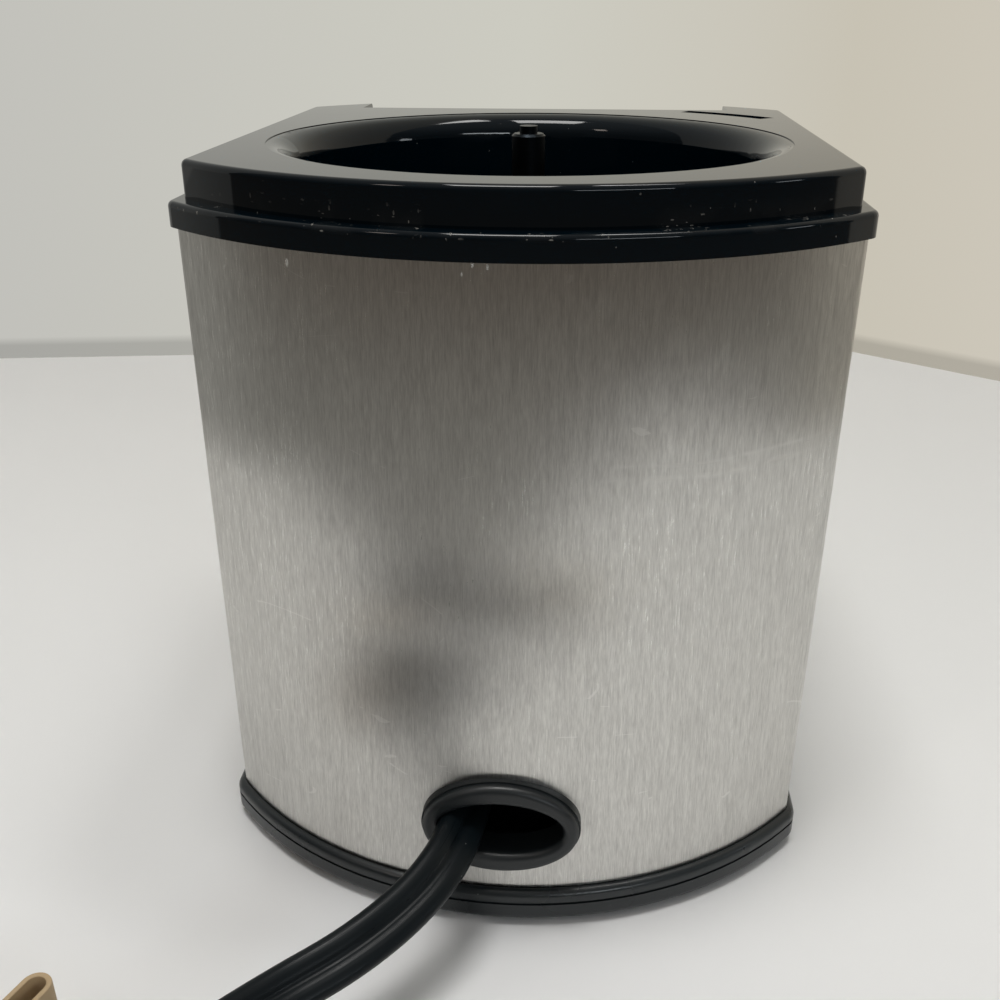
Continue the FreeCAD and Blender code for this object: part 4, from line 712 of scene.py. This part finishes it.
def coilRadius(lay, off):
    return lay["innerRadius"] + lay["pitch"] * (math.sqrt(off ** 2 + lay["soft"] ** 2) - lay["soft"])


def flatTurn(angle):
    return Vector((math.cos(angle), math.sin(angle), 0))


# the coil winds inward on the table, climbs one layer and winds outward again
def coilPoints(lay):
    end = Vector(lay["lead"][-1])
    heading = (end - Vector(lay["lead"][-2])).normalized()
    startRadius = coilRadius(lay, -lay["turnsIn"])
    outward = lay["pitch"] / fullTurn
    inward = outward * lay["turnsIn"] / math.hypot(lay["turnsIn"], lay["soft"])
    first = math.atan2(heading.y, heading.x) - math.pi / 2 - math.atan2(inward, startRadius)
    begin = end + heading * lay["stub"]
    centre = begin - flatTurn(first) * startRadius
    last = math.radians(lay["endTurn"]) + fullTurn * lay["rounds"]
    middle = first + fullTurn * lay["turnsIn"]
    count = round((last - first) / fullTurn * lay["pointsPerTurn"])
    step = (last - first) / count
    spare = 4 / (3 + math.cos(step))  # the smooth line runs inside its control points
    points = []
    for i in range(count + 1):
        turn = first + step * i
        radius = coilRadius(lay, (turn - middle) / fullTurn) * spare
        height = lay["layer"] * eased((turn - middle) / math.pi + 0.5)
        points.append(centre + flatTurn(turn) * radius + Vector((0, 0, height)))
    finish = coilRadius(lay, (last - middle) / fullTurn)
    leave = (flatTurn(last + math.pi / 2) * finish + flatTurn(last) * outward).normalized()
    close = centre + flatTurn(last) * finish + Vector((0, 0, lay["layer"]))
    return points, centre, close + leave * lay["stub"], leave


def routePoints(lay):
    coil, centre, leaveAt, leave = coilPoints(lay)
    turned = Matrix.Rotation(math.atan2(leave.y, leave.x) - math.pi, 3, "Z")
    tail = [leaveAt + turned @ Vector(point) for point in lay["tail"]]
    return [Vector(point) * mm for point in [*lay["lead"], *coil, leaveAt, *tail]]


def smoothLine(points, steps):
    curve = bpy.data.curves.new("cordLine", "CURVE")
    curve.dimensions = "3D"
    spline = curve.splines.new("NURBS")
    spline.points.add(len(points) - 1)
    for slot, point in zip(spline.points, points):
        slot.co = (*point, 1)
    spline.order_u = 3
    spline.use_endpoint_u = True
    spline.resolution_u = steps
    holder = addObject("cordLine", curve)
    bpy.context.view_layer.update()
    mesh = bpy.data.meshes.new_from_object(holder.evaluated_get(bpy.context.evaluated_depsgraph_get()))
    line = [v.co.copy() for v in mesh.vertices]
    bpy.data.objects.remove(holder)
    bpy.data.curves.remove(curve)
    bpy.data.meshes.remove(mesh)
    return line


# two squarish lobes with a groove between them on each flat side
def cordSection(lay):
    offset = lay["width"] / 2 - lay["lobe"]
    half = []
    for degrees in range(lay["sectionEnd"], -lay["sectionEnd"] - 1, -lay["sectionStep"]):
        wide, thin = math.cos(math.radians(degrees)), math.sin(math.radians(degrees))
        x = math.copysign(abs(wide) ** lay["square"], wide)
        y = math.copysign(abs(thin) ** lay["square"], thin)
        half.append((offset + lay["lobe"] * x, lay["lobe"] * y))
    other = [(-x, -y) for x, y in half]
    return [(0.0, lay["groove"]), *half, (0.0, -lay["groove"]), *other]


# the lead lies aslant, stands on its edge in the coil and lies flat again at the plug
def cordRoll(lay, share, leadShare, coilShare):
    start, wound = lay["leadRoll"], lay["coilRoll"]
    if share < leadShare:
        return start + (wound - start) * eased((share / leadShare - lay["rollFrom"]) / (1 - lay["rollFrom"]))
    if share > coilShare:
        return wound - wound * eased((share - coilShare) / (1 - coilShare) * lay["unrollBy"])
    return wound


def cordMesh(lay, line, mapName):
    section = cordSection(lay)
    lengths = [0.0]
    for a, b in zip(line, line[1:]):
        lengths.append(lengths[-1] + (b - a).length)
    total = lengths[-1]
    lead = lay["lead"]
    leadLength = sum((Vector(a) - Vector(b)).length for a, b in zip(lead, lead[1:])) * mm
    leadShare, coilShare = leadLength / total, 1 - lay["tailLength"] * mm / total
    verts = []
    for i, point in enumerate(line):
        ahead = (line[min(i + 1, len(line) - 1)] - line[max(i - 1, 0)]).normalized()
        level = Vector((0, 0, 1)).cross(ahead).normalized()
        upward = ahead.cross(level)
        roll = math.radians(cordRoll(lay, lengths[i] / total, leadShare, coilShare))
        wide = level * math.cos(roll) + upward * math.sin(roll)
        thin = upward * math.cos(roll) - level * math.sin(roll)
        verts += [point + wide * x + thin * y for x, y in section]
    ring = len(section)
    faces = []
    for i in range(len(line) - 1):
        for j in range(ring):
            k = (j + 1) % ring
            faces.append((i * ring + j, i * ring + k, (i + 1) * ring + k, (i + 1) * ring + j))
    faces.append(tuple(range(ring)))
    faces.append(tuple(reversed(range(len(verts) - ring, len(verts)))))
    mesh = bpy.data.meshes.new("supplyLead")
    mesh.from_pydata([tuple(v) for v in verts], [], faces)
    around = mesh.uv_layers.new(name=mapName)
    for face in mesh.polygons:
        face.use_smooth = True
        places = [divmod(vertex, ring) for vertex in face.vertices]
        closing = any(step == ring - 1 for along, step in places)
        for loop, (along, step) in zip(face.loop_indices, places):
            across = 1.0 if step == 0 and closing else step / ring
            around.data[loop].uv = (lengths[along], across * lay["mapWidth"])
    return addObject("supplyLead", mesh), total


route = routePoints(cordLay)
cordLine = smoothLine(route, cordLay["lineSteps"])
supplyLead, leadTotal = cordMesh(cordLay, cordLine, cordLook["map"])
selectOnly(supplyLead)
faceOutward()
supplyLead.data.materials.append(finishes["cordVinyl"])

# rubber band around the coil's turns, with a slack loop that stands on its edge
tieBand = {
    "turn": -58.0,
    "width": 0.010,
    "thick": 0.0009,
    "gap": 0.00045,
    "cordTube": 0.00285,
    "round": 0.0016,
    "roundSteps": 6,
    "edge": 0.00022,
    "smooth": 40.0,
    "ear": {
        "length": 0.022, "width": 0.005, "turn": 251.0, "flare": 1.1, "root": 0.004, "sides": 40, "cuts": 2,
        "near": 0.0001, "low": 0.001,
    },
}


def pickParts(piece, kind, test):
    bpy.ops.object.mode_set(mode="EDIT")
    bpy.ops.mesh.select_mode(type=kind)
    bpy.ops.mesh.select_all(action="DESELECT")
    bpy.ops.object.mode_set(mode="OBJECT")
    mesh = piece.data
    parts = {"VERT": mesh.vertices, "EDGE": mesh.edges, "FACE": mesh.polygons}[kind]
    for part in parts:
        part.select = test(part)
    bpy.ops.object.mode_set(mode="EDIT")


def applyModifier(piece, kind, **values):
    modifier = piece.modifiers.new(kind.lower(), kind)
    for name, value in values.items():
        setattr(modifier, name, value)
    bpy.ops.object.modifier_apply(modifier=modifier.name)


def applyPlace():
    bpy.ops.object.transform_apply(location=True, rotation=True, scale=True)


# where the coil's turns pass a given direction
def turnRadii(lay, degrees):
    points, centre, leaveAt, leave = coilPoints(lay)
    first = math.atan2(points[0].y - centre.y, points[0].x - centre.x)
    last = math.radians(lay["endTurn"]) + fullTurn * lay["rounds"]
    middle = first + fullTurn * lay["turnsIn"]
    turns = [math.radians(degrees) + fullTurn * i for i in range(-1, lay["rounds"] + 1)]
    radii = [coilRadius(lay, (turn - middle) / fullTurn) for turn in turns if first <= turn <= last]
    return [radius * mm for radius in radii], centre * mm


def bandLoop(band, inner, outer, low, high):
    deselectAll()
    bpy.ops.mesh.primitive_cube_add(size=1.0, location=((inner + outer) / 2, 0, (low + high) / 2))
    piece = bpy.context.object
    piece.name = "tieBand"
    piece.scale = (outer - inner, band["width"], high - low)
    applyPlace()

    def runsAcross(edge):
        a, b = (piece.data.vertices[i].co for i in edge.vertices)
        return abs(a.y - b.y) > band["width"] / 2

    pickParts(piece, "FACE", lambda face: abs(face.normal.y) > 0.5)
    bpy.ops.mesh.delete(type="FACE")
    pickParts(piece, "EDGE", runsAcross)
    bpy.ops.mesh.bevel(offset=band["round"], segments=band["roundSteps"], profile=0.5)
    bpy.ops.object.mode_set(mode="OBJECT")
    return piece


def bandEar(band, wall, foot):
    ear = band["ear"]
    radius = (ear["width"] - band["thick"]) / 2
    tip = ear["length"] - ear["width"] / 2
    deselectAll()
    bpy.ops.mesh.primitive_cylinder_add(
        vertices=ear["sides"], radius=radius, depth=band["width"], end_fill_type="NOTHING",
        location=(tip, 0, foot + band["width"] / 2),
    )
    piece = bpy.context.object
    piece.name = "tieEar"
    applyPlace()
    bend = tip - ear["near"]
    pickParts(piece, "VERT", lambda v: v.co.x < bend)
    bpy.ops.transform.translate(value=(-tip - ear["root"], 0, 0))
    pickParts(piece, "VERT", lambda v: v.co.x > bend and v.co.z < foot + ear["low"])
    bpy.ops.transform.resize(value=(ear["flare"], ear["flare"], 1.0), center_override=(tip, 0, foot))
    bpy.ops.mesh.select_all(action="SELECT")
    bpy.ops.mesh.subdivide(number_cuts=ear["cuts"])
    lean = math.radians(ear["turn"] - band["turn"])
    outward = (math.cos(lean), -math.sin(lean), 0.0)  # the band's outer wall, seen along the ear
    bpy.ops.mesh.bisect(plane_co=(0, 0, foot), plane_no=outward, clear_inner=True)
    bpy.ops.object.mode_set(mode="OBJECT")
    piece.rotation_euler = (0, 0, lean)
    piece.location = (wall, 0, 0)
    applyPlace()
    return piece


def wrapTie(band, lay):
    radii, centre = turnRadii(lay, band["turn"])
    half = band["thick"] / 2
    inside = min(radii) - band["cordTube"]
    inner = math.sqrt(inside ** 2 - (band["width"] / 2) ** 2) - band["gap"] - half
    outer = max(radii) + band["cordTube"] + band["gap"] + half
    middle = lay["lead"][-1][2] * mm
    reach = lay["width"] / 2 + band["gap"] / 2 + half
    low, high = middle - reach, middle + lay["layer"] * mm + reach
    ear = bandEar(band, outer, low - half)
    loop = bandLoop(band, inner, outer, low, high)
    for piece in (ear, loop):
        selectOnly(piece)
        applyModifier(piece, "SOLIDIFY", thickness=band["thick"], offset=0.0, use_even_offset=True)
        applyModifier(piece, "BEVEL", width=band["edge"], segments=2, limit_method="ANGLE")
    ear.select_set(True)
    bpy.ops.object.join()
    loop.rotation_euler = (0, 0, math.radians(band["turn"]))
    loop.location = (centre.x, centre.y, 0)
    applyPlace()
    faceOutward()
    bpy.ops.object.shade_smooth_by_angle(angle=math.radians(band["smooth"]))
    loop.data.materials.append(finishes["tieTan"])
    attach(loop, "base_body")
    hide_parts("cord_tie")
    return loop


tiePiece = wrapTie(tieBand, cordLay)
print("tie wrapped")
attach(supplyLead, "base_body")
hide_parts("supply_cord", "cord_coil", "plug_lead")
print("cord laid", round(leadTotal, 3))

# table in a corner between two walls, and the light on it
stageSet = {
    "tableFar": [(0.2262, -0.2448), (-0.1146, -0.2955), (-0.1811, -0.2477)],
    "tableEnds": [0.385, 0.205],
    "tableNear": [(0.25, 0.14), (-0.285, 0.36)],
    "tableThick": 0.028,
    "wallBehind": [0.035, 0.021],
    "wallLengths": [4.5, 0.66],
    "wallSpan": [-1.0, 1.4],
}
# the table's colour runs from far to near as painted light, lighter towards the camera, with random cloudy tone
# changes over it
tableLook = {
    "far": (0.78, 0.78, 0.78),
    "near": (0.87, 0.875, 0.88),
    "span": (-0.20, 0.08),
    "cloudScale": 9.0,
    "cloudDetail": 4.0,
    "cloudRough": 0.55,
    "clouds": 0.12,
    "rough": 0.38,
    "shine": 0.3,
}
# painted light on the walls: wall tones from the left end to the right one, by x in metres; below the table's level
# the glow is dimmed to a painted shadow at the joint
wallLook = {
    "jointShadowTone": 0.72,
    "jointShadowSpan": (-0.0085, -0.0045),
    "rough": 0.8,
    "tones": [
        (0.28, (0.535, 0.530, 0.497)),
        (0.02, (0.604, 0.597, 0.533)),
        (-0.08, (0.590, 0.565, 0.490)),
        (-0.13, (0.575, 0.540, 0.455)),
        (-0.22, (0.615, 0.575, 0.495)),
    ],
}


# table and walls are see-through from behind, so that they hide the object from no side
def clearBehind(tree, surface):
    behind = addNode(tree, "NewGeometry").outputs["Backfacing"]
    clear = addNode(tree, "BsdfTransparent").outputs[0]
    feed(tree, tree.nodes["Material Output"], "Surface", mixShaders(tree, behind, surface, clear))


def tableMaterial(look):
    material, tree, shader = newMaterial("whiteTable", look["far"], look["rough"])
    shader.inputs["Specular IOR Level"].default_value = look["shine"]
    place = objectPlace(tree)
    noise = noiseAt(tree, place, look["cloudScale"], look["cloudDetail"], look["cloudRough"])
    cloudy = ranged(tree, noise, 0.0, 1.0, -look["clouds"], look["clouds"])
    # painted light: the table's colour grows lighter towards the camera along y
    paintedNearLight = ranged(tree, splitPlace(tree, place)[1], *look["span"], 0.0, 1.0)
    share = mathNode(tree, "ADD", paintedNearLight, cloudy)
    feed(tree, shader, "Base Color", mixColors(tree, share, look["far"], look["near"]))
    clearBehind(tree, shader.outputs[0])
    return material


# the walls glow to the camera and in reflections with painted light and shade: their tones along x, dimmed below the
# table's level as a painted shadow at the joint
def wallMaterial(look):
    material, tree, shader = newMaterial("paleWall", look["tones"][1][1], look["rough"])
    x, y, z = splitPlace(tree, objectPlace(tree))
    start, end = look["tones"][-1][0], look["tones"][0][0]
    stops = [((at - start) / (end - start), color) for at, color in reversed(look["tones"])]
    paintedLightGlow = addNode(tree, "Emission")
    # painted light: the tone along x stands for the light falling on the walls
    feed(tree, paintedLightGlow, "Color", colorRamp(tree, ranged(tree, x, start, end, 0.0, 1.0), stops))
    # painted shadow: the glow is dimmed below the table's level, at the joint with the table
    feed(tree, paintedLightGlow, "Strength", ranged(tree, z, *look["jointShadowSpan"], look["jointShadowTone"], 1.0))
    path = addNode(tree, "LightPath").outputs
    seen = largest(tree, path["Is Camera Ray"], path["Is Glossy Ray"], path["Is Transmission Ray"])
    clearBehind(tree, mixShaders(tree, seen, shader.outputs[0], paintedLightGlow.outputs[0]))
    return material


def stagePlane(name, corners, material, thick=0.0):
    count = len(corners)
    faces = [tuple(range(count))]
    if thick:
        corners = [*corners, *((x, y, z - thick) for x, y, z in corners)]
        faces += [(i, i + count, (i + 1) % count + count, (i + 1) % count) for i in range(count)]
    mesh = bpy.data.meshes.new(name)
    mesh.from_pydata(corners, [], faces)
    mesh.materials.append(material)
    addObject(name, mesh)


def buildStage(look):
    farLeft, corner, farRight = (Vector(point) for point in look["tableFar"])
    left = (farLeft - corner).normalized()
    right = (farRight - corner).normalized()
    leftEnd = corner + left * look["tableEnds"][0]
    rightEnd = corner + right * look["tableEnds"][1]
    nearLeft, nearRight = look["tableNear"]
    edge = [(*point, 0) for point in (nearLeft, nearRight, rightEnd, corner, leftEnd)]
    stagePlane("tableTop", edge, tableMaterial(tableLook), look["tableThick"])
    back, away = look["wallBehind"]
    meet = corner + Vector((left.y, -left.x)) * back + Vector((-right.y, right.x)) * away
    leftLength, rightLength = look["wallLengths"]
    low, high = look["wallSpan"]
    wall = wallMaterial(wallLook)
    walls = {"leftWall": (meet, meet + left * leftLength), "rightWall": (meet + right * rightLength, meet)}
    for name, (start, end) in walls.items():
        stagePlane(name, [(*end, low), (*start, low), (*start, high), (*end, high)], wall)


buildStage(stageSet)

lampColors = {"ceiling": (1.0, 0.99, 0.97), "day": (0.9, 0.96, 1.0), "warm": (1.0, 0.88, 0.80)}
partAim = (0.0, 0.0, 0.12)
# place, aim, size, power, colour
lamps = {
    "rowLeft": ((-0.36, -0.22, 1.30), (-0.36, -0.22, 0.0), (0.36, 0.36), 6.0, "ceiling"),
    "rowRight": ((0.105, 0.12, 1.30), (0.105, 0.12, 0.0), (0.37, 0.36), 6.3, "ceiling"),
    "farWindow": ((-0.64, 1.26, 0.60), partAim, (0.66, 0.08), 2.4, "day"),
    "sideWindow": ((-1.085, 0.337, 0.395), partAim, (0.16, 0.10), 0.35, "day"),
    "cornerLamp": ((0.606, 0.682, 0.868), partAim, (0.12, 0.16), 0.42, "warm"),
}


def hangLamp(name, place, aim, size, power, color):
    data = bpy.data.lights.new(name, "AREA")
    data.shape = "RECTANGLE"
    data.size, data.size_y = size
    data.energy = power
    data.color = lampColors[color]
    holder = addObject(name, data)
    holder.location = place
    holder.rotation_euler = (Vector(aim) - Vector(place)).to_track_quat("-Z", "Y").to_euler()


for name, values in lamps.items():
    hangLamp(name, *values)

# the room by height, from straight down to straight up: dim and warm around the table's level, paler overhead
roomTones = [
    (0.0, (0.06, 0.056, 0.052)),
    (0.33, (0.22, 0.215, 0.20)),
    (0.37, (0.205, 0.198, 0.182)),
    (0.40, (0.145, 0.132, 0.116)),
    (0.44, (0.090, 0.074, 0.060)),
    (0.52, (0.10, 0.084, 0.070)),
    (0.62, (0.10, 0.092, 0.082)),
    (0.78, (0.20, 0.19, 0.18)),
    (0.92, (0.38, 0.37, 0.355)),
    (1.0, (0.42, 0.41, 0.40)),
]


def buildRoom(tones):
    world = bpy.data.worlds.new("room")
    world.use_nodes = True
    bpy.context.scene.world = world
    tree = world.node_tree
    direction = addNode(tree, "TexCoord").outputs["Generated"]
    height = ranged(tree, splitPlace(tree, direction)[2], -1.0, 1.0, 0.0, 1.0)
    shade = tree.nodes["Background"]
    feed(tree, shade, "Color", colorRamp(tree, height, tones))
    shade.inputs["Strength"].default_value = 1.0


buildRoom(roomTones)
print("stage and light ready")
